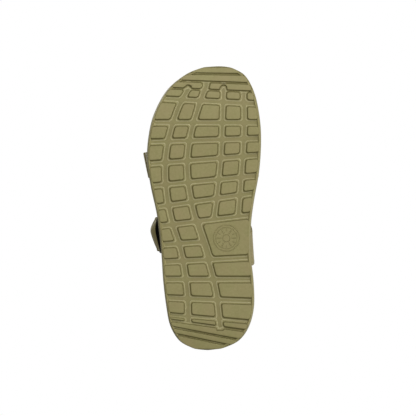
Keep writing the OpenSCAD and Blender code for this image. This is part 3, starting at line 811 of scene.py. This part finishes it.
def ridge_spoke(angle, start, end, width, height):
    """A straight ridge along a radius: a half sine over its width, rounded off at its ends."""
    u, v = np.meshgrid(np.linspace(0, 1, 9), np.linspace(-0.5, 0.5, 7), indexing="ij")
    swell = np.sqrt(np.clip(1 - (2 * u - 1) ** 6, 0, 1))
    along = start + (end - start) * u
    side = v * width * (0.35 + 0.65 * swell)
    z = PANEL_LIFT - height * np.cos(np.pi * v) * swell
    x = ROUNDEL_AT[0] + along * np.cos(angle) - side * np.sin(angle)
    y = ROUNDEL_AT[1] + along * np.sin(angle) + side * np.cos(angle)
    face = np.stack([x, y, z], -1)
    back = face * [1, 1, 0] + [0, 0, PANEL_LIFT + 0.4]
    ring = np.concatenate([face, back[:, ::-1]], axis=1)
    quads = grid_quads(*ring.shape[:2], wrap_columns=True)
    caps = end_caps(*ring.shape[:2])
    return part(ring, [quads, *caps], shade=ridge_shade(ring[..., 2], height))


roundel = [ridge_ring(13.0, 1.1, 0.32), ridge_ring(10.6, 0.9, 0.3), ridge_ring(3.6, 1.0, 0.3)]
roundel += [ridge_spoke(k * np.pi / 3, 4.9, 9.4, 1.3, 0.32) for k in range(6)]
roundel += [ridge_spoke((k + 0.5) * np.pi / 3, 6.8, 9.4, 1.0, 0.3) for k in range(6)]

# %% [markdown]
# ### The outsole sheet, the midsole and the footbed
# These three are ring bodies. The sheet carries the blocks. The midsole rounds out over the
# sheet to the sole's full width, draws in slightly up the wall, and turns over at the top.
# The footbed rises to a rim: high round the heel, with an arch support on the inner side.

# %% Outsole
def over_ground(lift):
    """A height function: the curled ground side, plus a lift."""
    return lambda ring, moved: rise(moved[:, 1]) + lift


# The last number of each level is painted shade: a little on the channel floors between the blocks and
# on the lip, more on the faces that the midsole covers.
sheet_levels = [
    *[(d, over_ground(LUG_H), 0.15) for d in (30, 24, 19, 14, 9, 4.4)],
    (3.4, over_ground(LUG_H - 0.1), 0.1), (3.0, over_ground(LUG_H - 0.6), 0.1),
    (2.75, over_ground(0.7), 0.1), (2.5, over_ground(0.3), 0.0), (2.1, over_ground(0.18), 0.0),
    (1.6, over_ground(0.3), 0.0),
    (1.15, over_ground(0.75), 0.0), (0.85, over_ground(1.4), 0.0), (0.75, over_ground(2.2), 0.0),
    (0.75, over_ground(LUG_H + 1.6), 0.35), (1.0, over_ground(LUG_H + SHEET_H), 0.8),
    *[(d, over_ground(LUG_H + SHEET_H), 0.8) for d in (5, 14, 22, 30)],
]
make_piece("outsole_finish", [ring_body(sheet_levels), *blocks, *roundel], rubber,
           "sole_and_straps", ["outsole"])

# %% Midsole
WALL_BASE = LUG_H + SHEET_H + 0.05
FOOT_RADIUS = 3.4


def wall_height(share, lift=0.0):
    """A height up the midsole's wall, from its base at 0 to its top at 1."""

    def height(ring, moved):
        y = moved[:, 1]
        base = WALL_BASE + rise(y)
        return base + (mid_top(y) - base) * share + lift

    return height


turn = np.linspace(0, np.pi / 2, 6)
# The last number of each level is painted shade: on the faces the outsole and footbed cover, at the
# wall's rounded foot, and in the groove round the wall.
midsole_levels = [(d, wall_height(0), 0.9) for d in (30, 20, 10, 4.2)]
midsole_levels += [
    (FOOT_RADIUS * (1 - np.sin(a)), wall_height(0, FOOT_RADIUS * (1 - np.cos(a))), 0.25 * np.cos(a))
    for a in turn[1:]
]
midsole_levels += [
    (0.15, wall_height(0.42), 0.0), (0.55, wall_height(0.5), 0.0), (0.75, wall_height(0.56), 0.1),
    (1.15, wall_height(0.6), 0.55), (1.15, wall_height(0.63), 0.55), (0.8, wall_height(0.67), 0.1),
    (0.9, wall_height(0.85), 0.0), (1.1, wall_height(1, -1.3), 0.0), (1.35, wall_height(1, -0.6), 0.0),
    (1.9, wall_height(1, -0.15), 0.15), *[(d, wall_height(1), 0.6) for d in (2.6, 10, 20, 30)],
]
make_piece("midsole_finish", [ring_body(midsole_levels)], foam,
           "sole_and_straps", ["midsole"])

# %% Footbed
BED_INSET = 2.5
RIM_H, CUP_START, CUP_OVER = 2.5, -60, 50
ARCH_INNER, ARCH_OUTER, ARCH_Y, ARCH_REACH = 5.0, 1.5, -18, 40


def rim_rise(ring):
    """How far the footbed's rim stands over its middle: heel cup, arch support and toe rim."""
    y = ring[:, 1]
    inner = ring[:, 0] < spine(y)[:, 0]
    cup = RIM_H + (HEEL_CUP - RIM_H) * ease((CUP_START - y) / CUP_OVER)
    return cup + np.where(inner, ARCH_INNER, ARCH_OUTER) * np.exp(-(((y - ARCH_Y) / ARCH_REACH) ** 2))


def bed_height(distance, drop=0.0):
    """The footbed's upper surface: its middle, plus a share of the rim that fades inwards."""

    def height(ring, moved):
        share = 1 - ease((distance - 4) / 17)
        return mid_top(moved[:, 1]) + BED_H + rim_rise(ring) * share - drop

    return height


# The last number of each level is painted shade: on the hidden underside, at the foot where the footbed
# meets the midsole, and in the pressed groove round the border.
bed_levels = [
    *[(d, lambda ring, moved: mid_top(moved[:, 1]) + 0.1, 0.8) for d in (30, 20, 10, 3.4)],
    (BED_INSET + 0.2, lambda ring, moved: mid_top(moved[:, 1]) + 0.35, 0.5),
    (BED_INSET, lambda ring, moved: mid_top(moved[:, 1]) + 1.1, 0.1),
    (BED_INSET, bed_height(BED_INSET, 1.9), 0.0), (BED_INSET + 0.25, bed_height(3, 0.9), 0.0),
    (BED_INSET + 0.8, bed_height(3.4, 0.25), 0.0), (BED_INSET + 1.6, bed_height(4.1, 0.0), 0.0),
    (5.2, bed_height(5.2, 0.0), 0.0), (6.2, bed_height(6.2, 0.1), 0.1),
    (6.8, bed_height(6.8, 0.75), 0.8), (7.4, bed_height(7.4, 0.75), 0.8),
    (8.0, bed_height(8.0, 0.15), 0.1),
    *[(d, bed_height(d, 0.05), 0.0) for d in (9, 11, 13.5, 16, 19, 22, 26, 30)],
]
make_piece("footbed_finish", [ring_body(bed_levels)], footbed_foam,
           "sole_and_straps", ["footbed"])

# %% [markdown]
# ## Straps
# A strap lies along a path over the foot. At each spot of the path there is a direction
# along, a direction across and an outward normal. A flat rounded profile carried along the
# path is the strap; the lining, the closure tapes and the closing tab are layers at other
# heights over the same path, so they nest with no fitting.

# %% Strap paths, in millimetres
# Each point is x, y, z, the slant of the rear edge outwards, and the bow of the width.
STRAP_T, LINING_T, TAPE_T = 1.9, 3.0, 1.3
WIRE_R = 1.3
EYE_BORE_R = WIRE_R + 0.2
EYE_R = EYE_BORE_R + STRAP_T
EYE_LIFT = EYE_R - 0.1
STACK_H = 2 * EYE_R
TAB_LOW = STACK_H - STRAP_T
HOOK_LOW = TAB_LOW - TAPE_T - 0.05
FORE_W, INSTEP_W, HEEL_W = 26.0, 34.0, 20.0
FORE_Y, INSTEP_OUTER_Y, INSTEP_INNER_Y, HEEL_SIDE_Y = 44.0, -26.0, -41.0, -72.0


def tongue_z(y):
    """The height at which a strap's end lies between the midsole and the footbed."""
    return float(mid_top(np.array(y))) - 0.3


fore_z, heel_z = tongue_z(FORE_Y), tongue_z(HEEL_SIDE_Y)
outer_z, inner_z = tongue_z(INSTEP_OUTER_Y), tongue_z(INSTEP_INNER_Y)
FORE_PATH = np.array([
    [38, FORE_Y, fore_z, 0, 0], [49, FORE_Y, fore_z, 0, 0], [54, FORE_Y, fore_z + 5, -0.1, 0],
    [55.2, 44, 32, -0.18, 0.0], [51.7, 44.5, 45, -0.2, 0.1], [43.5, 45, 56, -0.1, 0],
    [31.5, 46, 64, 0.02, 0], [16, 47, 69.5, 0.1, 0], [-2, 47, 71, 0.12, 0], [-20, 47, 69, 0.1, 0],
    [-36, 46, 62, 0.05, 0], [-47, 45, 50, -0.01, 0], [-52.4, 44, 36, -0.03, 0],
    [-52.8, FORE_Y, fore_z + 5, -0.04, 0], [-47.5, FORE_Y, fore_z, 0, 0], [-37, FORE_Y, fore_z, 0, 0],
])
INSTEP_PATH = np.array([
    [27, INSTEP_OUTER_Y, outer_z, -0.105, 0], [37, INSTEP_OUTER_Y, outer_z, -0.105, 0],
    [42.6, INSTEP_OUTER_Y, outer_z + 5, -0.11, 0], [44.2, -26, 37, -0.07, 7.5],
    [41.8, -25.5, 50, -0.04, 0.4], [37.6, -24, 63, 0.08, 0], [29.5, -21, 74.5, 0.2, 0],
    [17.5, -17, 84, 0.3, 0], [3, -14, 90, 0.35, 0], [-14, -14, 90, 0.34, 0], [-29, -18, 81, 0.28, 0],
    [-40, -25, 67, 0.18, 0], [-46, -33, 51, 0.1, 0], [-47.4, -39, 36, 0.05, 0],
    [-44.3, INSTEP_INNER_Y, inner_z + 5, -0.02, 0], [-39, INSTEP_INNER_Y, inner_z, -0.088, 0],
    [-28, INSTEP_INNER_Y, inner_z, -0.088, 0],
])
SWING = [joint for joint in frame["joints"] if joint["name"] == "heel_sling_swing"][0]
AXIS_Y, AXIS_Z = (PER_METRE * SWING["pos_m"][k] for k in (1, 2))
RING_R, OUTER_RING_X, INNER_RING_X = 10.0, 34.0, -41.4
HEEL_PATH = np.array([
    [OUTER_RING_X - EYE_R, -78, 64.6, 0, 0], [30.5, -89, 67.5, 0, 0], [27.5, -103, 71, 0, 0],
    [19, -116, 74, 0, 0], [7, -124.5, 76, 0, 0], [-7, -127, 76.5, 0, 0], [-20, -121.5, 75.5, 0, 0],
    [-31, -110, 73, 0, 0], [-36.5, -95, 69, 0, 0], [INNER_RING_X + EYE_R, -78, 64.6, 0, 0],
])
HEEL_SIDE_OUTER = np.array([
    [22, HEEL_SIDE_Y, heel_z, 0, 0], [33, HEEL_SIDE_Y, heel_z, 0, 0],
    [38.6, HEEL_SIDE_Y, heel_z + 5, -0.05, 0], [36.5, -71, 40, 0, 0],
    [OUTER_RING_X - EYE_R, -68, 52, 0, 0],
])
HEEL_SIDE_INNER = np.array([
    [INNER_RING_X + EYE_R, -68, 52, 0, 0], [-44.5, -71, 40, 0, 0],
    [-46.9, HEEL_SIDE_Y, heel_z + 5, 0.03, 0], [-42, HEEL_SIDE_Y, heel_z, 0, 0],
    [-31, HEEL_SIDE_Y, heel_z, 0, 0],
])
REARWARD, DOWNWARD = np.array([0, -1.0, 0]), np.array([0, 0, -1.0])

# %% Frames along a path, and layers on it
def frames(path, t, across=REARWARD):
    """At each t: the place, the direction along, the outward normal, across, and the bow."""
    p = curve_at(path, t)
    along = unit((curve_at(path, t + 0.01) - curve_at(path, t - 0.01))[:, :3])
    level = unit(np.cross(along, across))
    raw = across + p[:, 3:4] * level
    side = unit(raw - np.sum(raw * along, -1, keepdims=True) * along)
    return {"at": p[:, :3], "along": along, "out": np.cross(along, side), "side": side, "bow": p[:, 4]}


BOW_PEAK = -0.28


def bow_shape(v):
    """The bow's share across the width: 1 at a soft corner ahead of the middle, 0 at the edges."""
    away = (v - BOW_PEAK) / np.where(v < BOW_PEAK, 1 + BOW_PEAK, 1 - BOW_PEAK)
    return 1 - np.abs(away) ** 1.4


def joined(*parts_of_path):
    """Several runs of frames as one."""
    return {key: np.concatenate([p[key] for p in parts_of_path]) for key in parts_of_path[0]}


def raised(f, height):
    """The same frames, moved out along their normals by a height."""
    return {**f, "at": f["at"] + f["out"] * np.reshape(height, (-1, 1))}


FACE_POINTS, EDGE_POINTS = 11, 7


def profile(width, thick, crown=0.0):
    """A flat rounded strip seen from its end: two faces joined by half-round edges.

    Gives the place across and the height of each point; crown raises both faces' middles.
    """
    r = thick / 2
    flat = np.linspace(-1, 1, FACE_POINTS) * (width / 2 - r)
    bulge = crown * (1 - (flat / (width / 2)) ** 4)
    turn = np.linspace(np.pi / 2, -np.pi / 2, EDGE_POINTS)[1:-1]
    right = width / 2 - r + r * np.cos(turn)
    left = -(width / 2 - r) - r * np.cos(turn)
    across = np.concatenate([flat, right, flat[::-1], left])
    height = np.concatenate([r + bulge, r * np.sin(turn), -r - bulge[::-1], -r * np.sin(turn)])
    return across, height


def end_share(u, share, reach):
    """The width's share near a narrowing end, along a quarter ellipse."""
    k = np.clip(1 - u / reach, 0, 1)
    return np.sqrt(1 - k * k * (1 - share * share))


SQUEEZE = 0.12


def strip(f, width, thick, shares=None, crown=0.0):
    """A strap: the profile carried along the frames, with a rounded nose at each end."""
    n = len(f["at"])
    shares = np.ones(n) if shares is None else shares
    across, height = profile(width, thick, crown)
    thin = np.ones(n)
    thin[[0, -1]], thin[[1, -2]] = 1 - 5 * SQUEEZE, 1 - SQUEEZE
    side = across[None, :] * shares[:, None]
    v = 2 * side / width
    lift = height[None, :] * thin[:, None] + f["bow"][:, None] * bow_shape(np.clip(v, -1, 1))
    points = (
        f["at"][:, None]
        + f["side"][:, None] * side[..., None]
        + f["out"][:, None] * lift[..., None]
    )
    steps = np.linalg.norm(np.diff(f["at"], axis=0), axis=-1)
    length = np.concatenate([[0], np.cumsum(steps)])
    uv = np.stack([np.broadcast_to(length[:, None], side.shape), side], -1)
    m = len(across)
    quads = grid_quads(n, m, wrap_columns=True)
    return part(points, [quads, *end_caps(n, m)], uv)


def layer(path, t0, t1, low, high, width, across=REARWARD, rows_n=60,
          start=1.0, finish=1.0, reach=0.2, **more):
    """A strip along a path between two heights; its ends may narrow to a share of the width."""
    u = np.linspace(0, 1, rows_n)
    shares = np.minimum(end_share(u, start, reach), end_share(1 - u, finish, reach))
    f = raised(frames(path, t0 + (t1 - t0) * u, across), (low + high) / 2)
    return strip(f, width, high - low, shares, **more)


TAIL_LIFT = 1.52  # the height at which a folded tail lies, in thicknesses


def fold(f, under):
    """Frames that carry a strap's end round a bar and back over itself.

    The bar's middle lies EYE_LIFT out from the last frame's path. The strap turns about it in a
    half circle, then its tail runs back over the frames under it, down to lie on the strap. The
    tail faces the other way, so its bow is the strap's own bow turned round.
    """
    radius = EYE_R - STRAP_T / 2
    last = {key: f[key][-1] for key in f}
    ground = last["at"] - last["out"] * STRAP_T / 2
    middle = ground + last["out"] * EYE_LIFT
    angle = np.linspace(-90, 90, 15)[1:] * np.pi / 180
    spoke = np.outer(np.cos(angle), last["along"]) + np.outer(np.sin(angle), last["out"])
    down = ease(np.linspace(0, 1, len(under["at"])))
    lift = (STACK_H - STRAP_T / 2) * (1 - down) + TAIL_LIFT * STRAP_T * down
    n = len(angle)
    return joined(f, {
        "at": np.concatenate([middle + spoke * radius, under["at"] + under["out"] * lift[:, None]]),
        "along": np.concatenate([np.repeat(last["along"][None], n, 0), under["along"]]),
        "out": np.concatenate([-spoke, -under["out"]]),
        "side": np.concatenate([np.repeat(last["side"][None], n, 0), under["side"]]),
        "bow": np.concatenate([np.zeros(n), -under["bow"]]),
    })


STITCH_PITCH, STITCH_SHARE = 2.6, 0.40
THREAD_W, THREAD_H = 0.24, 0.20


def stitches(path, t0, t1, height, offsets, across=REARWARD, width=None):
    """Rows of sewing stitches along a path: each is a small bent grain of thread.

    A grain is a stretched ball of six by six points; its place along the path comes from
    equal steps of length.
    """
    fine = np.linspace(t0, t1, 400)
    steps = np.linalg.norm(np.diff(curve_at(path, fine)[:, :3], axis=0), axis=-1)
    length = np.concatenate([[0], np.cumsum(steps)])
    count = max(int(length[-1] / STITCH_PITCH), 2)
    t = np.interp((np.arange(count) + 0.5) / count * length[-1], length, fine)
    f = frames(path, t, across)
    turns = np.linspace(0, 2 * np.pi, 6, endpoint=False)
    turn, pole = np.meshgrid(turns, np.linspace(0.12, 0.88, 6) * np.pi, indexing="ij")
    a = -np.cos(pole) * STITCH_PITCH * STITCH_SHARE
    b = np.sin(pole) * np.cos(turn) * THREAD_W
    c = np.sin(pole) * np.sin(turn) * THREAD_H
    grains = []
    for offset in offsets:
        half = (width or 2 * abs(offset)) / 2
        lift = height + f["bow"] * bow_shape(np.array(offset / half))
        centre = f["at"] + f["out"] * np.reshape(lift, (-1, 1)) + f["side"] * offset
        points = (
            centre[:, None, None]
            + f["along"][:, None, None] * a[None, ..., None]
            + f["side"][:, None, None] * b[None, ..., None]
            + f["out"][:, None, None] * c[None, ..., None]
        )
        quads = grid_quads(6, 6, wrap_rows=True)
        ends = [[[k * 6 for k in range(6)]], [[k * 6 + 5 for k in range(6)][::-1]]]
        grains += [part(p, [quads, *ends]) for p in points]
    return grains


# %% [markdown]
# ### Forefoot and instep straps
# Both are made the same way. An anchor comes out between midsole and footbed, loops round
# the ring's lower bar and is sewn down. The main strap loops round the upper bar. The closing
# tab lies over it on hook and loop tape, and lifts at the crease beside the bar.

# %% The two upper straps
STITCH_EDGE, TAB_STITCH_EDGE, THREAD_LIFT = 2.4, 2.9, 0.02
PULL_SPLITS = 14


def upper_strap(name, path, width, bars, end, tab_end, loop_end, hook, lining, pull):
    """All the pieces of one strap over the foot.

    Places along the path are path numbers: bars holds the ring's lower and upper bar, end the
    main strap's far end, tab_end and loop_end where the tab and the loop tape stop, and hook,
    lining and pull the first and last place of those pieces.
    """
    low_bar, high_bar = bars
    middle = STRAP_T / 2
    up = raised(frames(path, np.linspace(0.1, low_bar, 60)), middle)
    anchor = fold(up, frames(path, np.linspace(low_bar - 0.06, low_bar - 0.85, 24)))
    make_piece(f"{name}_anchor_strap", [strip(anchor, width, STRAP_T)], strap_cloth, "sole_and_straps",
               [f"{name}_anchor"])
    over = raised(frames(path, np.linspace(end, high_bar, 110)), middle)
    over["along"] = -over["along"]
    tail = frames(path, np.linspace(high_bar + 0.04, high_bar + 0.36, 12))
    main = fold(over, tail)
    make_piece(f"{name}_main_strap", [strip(main, width, STRAP_T)], strap_cloth, "sole_and_straps",
               [f"{name}_strap"])
    pad = layer(path, *lining, -LINING_T, -0.1, width - 1.2, rows_n=110,
                start=0.8, finish=0.8, reach=0.05, crown=0.25)
    make_piece(f"{name}_padding", [pad], lining_mesh, "sole_and_straps",
               [f"{name}_lining"])
    loops = layer(path, high_bar + 0.42, loop_end, STRAP_T - 0.1, STRAP_T + TAPE_T, width - 5)
    make_piece(f"{name}_loop_tape", [loops], loop_tape, "sole_and_straps",
               [f"{name}_loop_patch"])
    tab = layer(path, high_bar + 0.3, tab_end, TAB_LOW, STACK_H, width - 1, finish=0.35, reach=0.24)
    make_piece(f"{name}_closing_tab", [tab], strap_cloth, f"{name}_closure",
               [f"{name}_tab"])
    hooks = layer(path, *hook, HOOK_LOW, TAB_LOW + 0.1, width - 7)
    make_piece(f"{name}_hook_tape", [hooks], hook_tape, f"{name}_closure",
               [f"{name}_hook_patch"])
    ribs = [layer(path, *pull, STACK_H - 0.2, STACK_H + 0.9, width * 0.5, rows_n=10)]
    gap = (pull[1] - pull[0]) / PULL_SPLITS
    for t in np.linspace(pull[0], pull[1], 6)[1:-1]:
        ribs.append(layer(path, t - gap, t + gap, STACK_H + 0.5, STACK_H + 1.3, width * 0.44, rows_n=6))
    make_piece(f"{name}_pull_tab", ribs, grip, f"{name}_closure", [f"{name}_pull"])
    rows_at = [-(width / 2 - STITCH_EDGE), width / 2 - STITCH_EDGE]
    on_strap, on_tab = STRAP_T + THREAD_LIFT, STACK_H + THREAD_LIFT
    sewn = stitches(path, 2.2, low_bar - 0.35, on_strap, rows_at, width=width)
    sewn += stitches(path, tab_end + 0.25, end - 1.9, on_strap, rows_at, width=width)
    make_piece(f"{name}_stitching", sewn, thread, "sole_and_straps")
    tab_rows = [-(width / 2 - TAB_STITCH_EDGE), width / 2 - TAB_STITCH_EDGE]
    sewn = stitches(path, high_bar + 0.45, tab_end - 0.8, on_tab, tab_rows, width=width)
    make_piece(f"{name}_tab_stitching", sewn, thread, f"{name}_closure")


FORE_BARS, INSTEP_BARS = (4.05, 4.93), (4.1, 4.98)
upper_strap("forefoot", FORE_PATH, FORE_W, FORE_BARS, end=14.9, tab_end=8.7, loop_end=9.6,
            hook=(5.6, 8.2), lining=(2.7, 12.3), pull=(8.3, 8.78))
upper_strap("instep", INSTEP_PATH, INSTEP_W, INSTEP_BARS, end=15.9, tab_end=8.9, loop_end=9.8,
            hook=(5.7, 8.3), lining=(2.8, 13.1), pull=(8.5, 8.98))

# The sleeve is a flat tube of knit round the lowest visible stretch of the instep strap; it is
# near-black as painted shade.
sleeve = layer(INSTEP_PATH, 1.4, 2.42, -0.3, STRAP_T + 0.3, INSTEP_W + 0.6, rows_n=30)
make_piece("instep_shade_sleeve", [sleeve], shade_sleeve_knit, "sole_and_straps")

# %% [markdown]
# ### Rings
# A strap ring is one loop of round wire with rounded corners: a circle carried round a
# rounded rectangle. The heel rings are plain circles, so a strap's eye can slide round them.

# %% Wire loops
WIRE_SIDES, RING_POINTS = 20, 72
RING_SPARE, RING_CORNER = 1.7, 2.6


def tube(centre, radius, normal):
    """A closed tube: a circle carried round a closed line that lies in one plane."""
    ahead, behind = np.roll(centre, -1, 0), np.roll(centre, 1, 0)
    along = unit(ahead - behind)
    outward = np.cross(along, normal)
    turn = np.linspace(0, 2 * np.pi, WIRE_SIDES, endpoint=False)
    radius = np.broadcast_to(radius, len(centre))[:, None, None]
    spoke = outward[:, None] * np.cos(turn)[None, :, None] + normal * np.sin(turn)[None, :, None]
    points = centre[:, None] + spoke * radius
    return part(points, [grid_quads(len(centre), WIRE_SIDES, wrap_rows=True, wrap_columns=True)])


def strap_ring(name, path, bars, width):
    """A rounded rectangle of wire through the two eyes of a strap."""
    f = frames(path, np.array(bars))
    low, high = (f["at"][k] + f["out"][k] * EYE_LIFT for k in (0, 1))
    middle, up = (low + high) / 2, unit(high - low)
    across = unit(f["side"].mean(0))
    across = unit(across - (across @ up) * up)
    half_w, half_h = width / 2 + RING_SPARE, np.linalg.norm(high - low) / 2
    turn = np.linspace(0, np.pi / 2, 9)
    centre, ends = [], []
    for quarter, (sx, sy) in enumerate([(1, 1), (-1, 1), (-1, -1), (1, -1)]):
        angle = turn + quarter * np.pi / 2
        x = sx * (half_w - RING_CORNER) + RING_CORNER * np.cos(angle)
        y = sy * (half_h - RING_CORNER) + RING_CORNER * np.sin(angle)
        centre.append(middle + np.outer(x, across) + np.outer(y, up))
    centre = np.concatenate(centre)
    make_piece(f"{name}_wire_ring", [tube(centre, WIRE_R, np.cross(across, up))], lacquer,
               "sole_and_straps", [f"{name}_ring"])


strap_ring("forefoot", FORE_PATH, FORE_BARS, FORE_W)
strap_ring("instep", INSTEP_PATH, INSTEP_BARS, INSTEP_W)


def round_ring(name, x, node):
    """A plain circle of wire in the plane of the swing."""
    turn = np.linspace(0, 2 * np.pi, RING_POINTS, endpoint=False)
    y, z = AXIS_Y + RING_R * np.cos(turn), AXIS_Z + RING_R * np.sin(turn)
    centre = np.column_stack([np.full(RING_POINTS, x), y, z])
    make_piece(name, [tube(centre, WIRE_R, np.array([1.0, 0, 0]))], lacquer,
               "sole_and_straps", [node])


round_ring("outer_heel_ring", OUTER_RING_X, "heel_ring_outer")
round_ring("inner_heel_ring", INNER_RING_X, "heel_ring_inner")

# %% [markdown]
# ### Heel strap
# The heel strap hangs in the two round rings by curved eyes. An eye is a sleeve of strap round
# a stretch of the ring: an arc of a hollow torus. The band narrows into it.

# %% Eyes and the heel strap
EYE_HOLE = EYE_BORE_R + 0.15
EYE_ROWS, EYE_SIDES = 25, 29


def ring_eye(x, angle, spread):
    """A sleeve round part of a ring: a ring-shaped section carried along an arc.

    The section runs round the outer radius and back round the hole, and the sleeve's ends are
    closed between the two.
    """
    arc = np.radians(np.linspace(angle - spread, angle + spread, EYE_ROWS))
    turn = np.linspace(0, 2 * np.pi, EYE_SIDES, endpoint=False)
    nose = np.sqrt(np.clip(1 - np.linspace(-1, 1, EYE_ROWS) ** 16, 0, 1))
    outer_r = EYE_HOLE + (EYE_R - EYE_HOLE) * (0.55 + 0.45 * nose)
    shells = []
    for radius in (outer_r, np.full(EYE_ROWS, EYE_HOLE)):
        reach = RING_R + radius[:, None] * np.cos(turn)
        shells.append(np.stack([
            x + radius[:, None] * np.sin(turn),
            AXIS_Y + reach * np.cos(arc)[:, None],
            AXIS_Z + reach * np.sin(arc)[:, None],
        ], -1))
    loop = np.concatenate([shells[0], shells[1][::-1]])
    uv_along = np.broadcast_to(turn[None] * EYE_R, loop.shape[:2])
    uv_across = np.broadcast_to(np.concatenate([arc, arc[::-1]])[:, None] * RING_R, loop.shape[:2])
    quads = grid_quads(*loop.shape[:2], wrap_rows=True, wrap_columns=True)
    return part(loop, [quads], np.stack([uv_along, uv_across], -1))


def heel_side(name, path, t0, t1, x, node):
    """A fixed strap from the sole up to one round ring, with its eye round the ring's low side."""
    band = layer(path, t0, t1, 0, STRAP_T, HEEL_W)
    make_piece(name, [band, ring_eye(x, 270, 32)], strap_cloth,
               "sole_and_straps", [node])


heel_side("outer_heel_anchor", HEEL_SIDE_OUTER, 0.1, 3.93, OUTER_RING_X, "heel_anchor_outer")
heel_side("inner_heel_anchor", HEEL_SIDE_INNER, 0.07, 3.9, INNER_RING_X, "heel_anchor_inner")

sling = layer(HEEL_PATH, 0.08, 8.92, 0, STRAP_T, HEEL_W, DOWNWARD, 120, 0.55, 0.55, 0.08)
root = layer(HEEL_PATH, 0.02, 0.3, TAB_LOW, STACK_H, HEEL_W * 0.55, DOWNWARD, 8)
eyes = [ring_eye(x, 165, 28) for x in (OUTER_RING_X, INNER_RING_X)]
make_piece("heel_sling_strap", [sling, root, *eyes], strap_cloth,
           "heel_sling", ["heel_strap"])

pad = layer(HEEL_PATH, 0.9, 8.1, -LINING_T, -0.1, HEEL_W + 4, DOWNWARD, 120, 0.6, 0.6, 0.08, crown=0.3)
make_piece("heel_padding", [pad], lining_mesh, "heel_sling", ["heel_pad"])
loops = layer(HEEL_PATH, 0.7, 4.6, STRAP_T - 0.1, STRAP_T + TAPE_T, HEEL_W - 5, DOWNWARD)
make_piece("heel_loop_tape", [loops], loop_tape, "heel_sling", ["heel_loop_patch"])

tab = layer(HEEL_PATH, 0.34, 3.9, TAB_LOW, STACK_H, HEEL_W - 1, DOWNWARD, 60, 0.6, 0.35, 0.2)
make_piece("heel_closing_tab", [tab], strap_cloth, "heel_closure", ["heel_tab"])
hooks = layer(HEEL_PATH, 0.9, 3.4, HOOK_LOW, TAB_LOW + 0.1, HEEL_W - 6, DOWNWARD)
make_piece("heel_hook_tape", [hooks], hook_tape, "heel_closure", ["heel_hook_patch"])
pull = layer(HEEL_PATH, 3.5, 3.98, STACK_H - 0.2, STACK_H + 1.3, HEEL_W * 0.45, DOWNWARD, 10)
make_piece("heel_pull_tab", [pull], grip, "heel_closure", ["heel_pull"])
sewn = stitches(HEEL_PATH, 4.8, 8.2, STRAP_T + THREAD_LIFT, [-7.8, 7.8], DOWNWARD)
make_piece("heel_stitching", sewn, thread, "heel_sling")
sewn = stitches(HEEL_PATH, 0.7, 3.2, STACK_H + THREAD_LIFT, [-7.2, 7.2], DOWNWARD)
make_piece("heel_tab_stitching", sewn, thread, "heel_closure")

# %% [markdown]
# ## The shank
# The shank is a plain nylon plate inside the sole. Its shape is right as it comes, so it only
# gets its finish.

# %% Shank
shank = bpy.data.objects["shank"]
shank.data.materials.clear()
shank.data.materials.append(nylon)

# %% [markdown]
# ## Floor and world
# The floor is a pale sheet that only the eye above it sees. The world is white to the eye,
# and gives a weaker even light to the surfaces.

# %% Floor
FLOOR_DROP, FLOOR_HALF = 0.0004, 3.0
floor_mesh = bpy.data.meshes.new("floor")
square = ((-1, -1), (1, -1), (1, 1), (-1, 1))
corners = [(x * FLOOR_HALF, y * FLOOR_HALF, -FLOOR_DROP) for x, y in square]
floor_mesh.from_pydata(corners, [], [(0, 1, 2, 3)])
floor = bpy.data.objects.new("floor", floor_mesh)
bpy.context.collection.objects.link(floor)
floor.visible_shadow = False
floor.visible_diffuse = False
floor.visible_glossy = False


def paint_floor(maths, surface):
    """Pale paper seen from above, and clear from below."""
    cloud = noise(maths, object_place(maths), 3.0)
    wire(surface, "Base Color", colour_mix(cloud, (0.80, 0.80, 0.79), (0.84, 0.84, 0.83)))
    surface.inputs["Roughness"].default_value = 0.9
    back = maths.add("ShaderNodeNewGeometry", output=6)
    clear = maths.add("ShaderNodeBsdfTransparent")
    paper = Link(maths.tree, surface.outputs[0])
    mixed = maths.add("ShaderNodeMixShader", {}, {0: back, 1: paper, 2: clear})
    maths.tree.links.new(mixed.socket, maths.tree.nodes["Material Output"].inputs["Surface"])


floor_mesh.materials.append(new_material("floor_paper", paint_floor))

# %% World
SKY_ON_SURFACES, SKY_EXTRA_TO_EYE = 0.38, 0.62
world = bpy.data.worlds.new("studio")
bpy.context.scene.world = world
world.use_nodes = True
sky = Link(world.node_tree)
eye_ray = sky.add("ShaderNodeLightPath")
strength = eye_ray * SKY_EXTRA_TO_EYE + SKY_ON_SURFACES
background = world.node_tree.nodes["Background"]
background.inputs["Color"].default_value = (1, 1, 1, 1)
world.node_tree.links.new(strength.socket, background.inputs["Strength"])
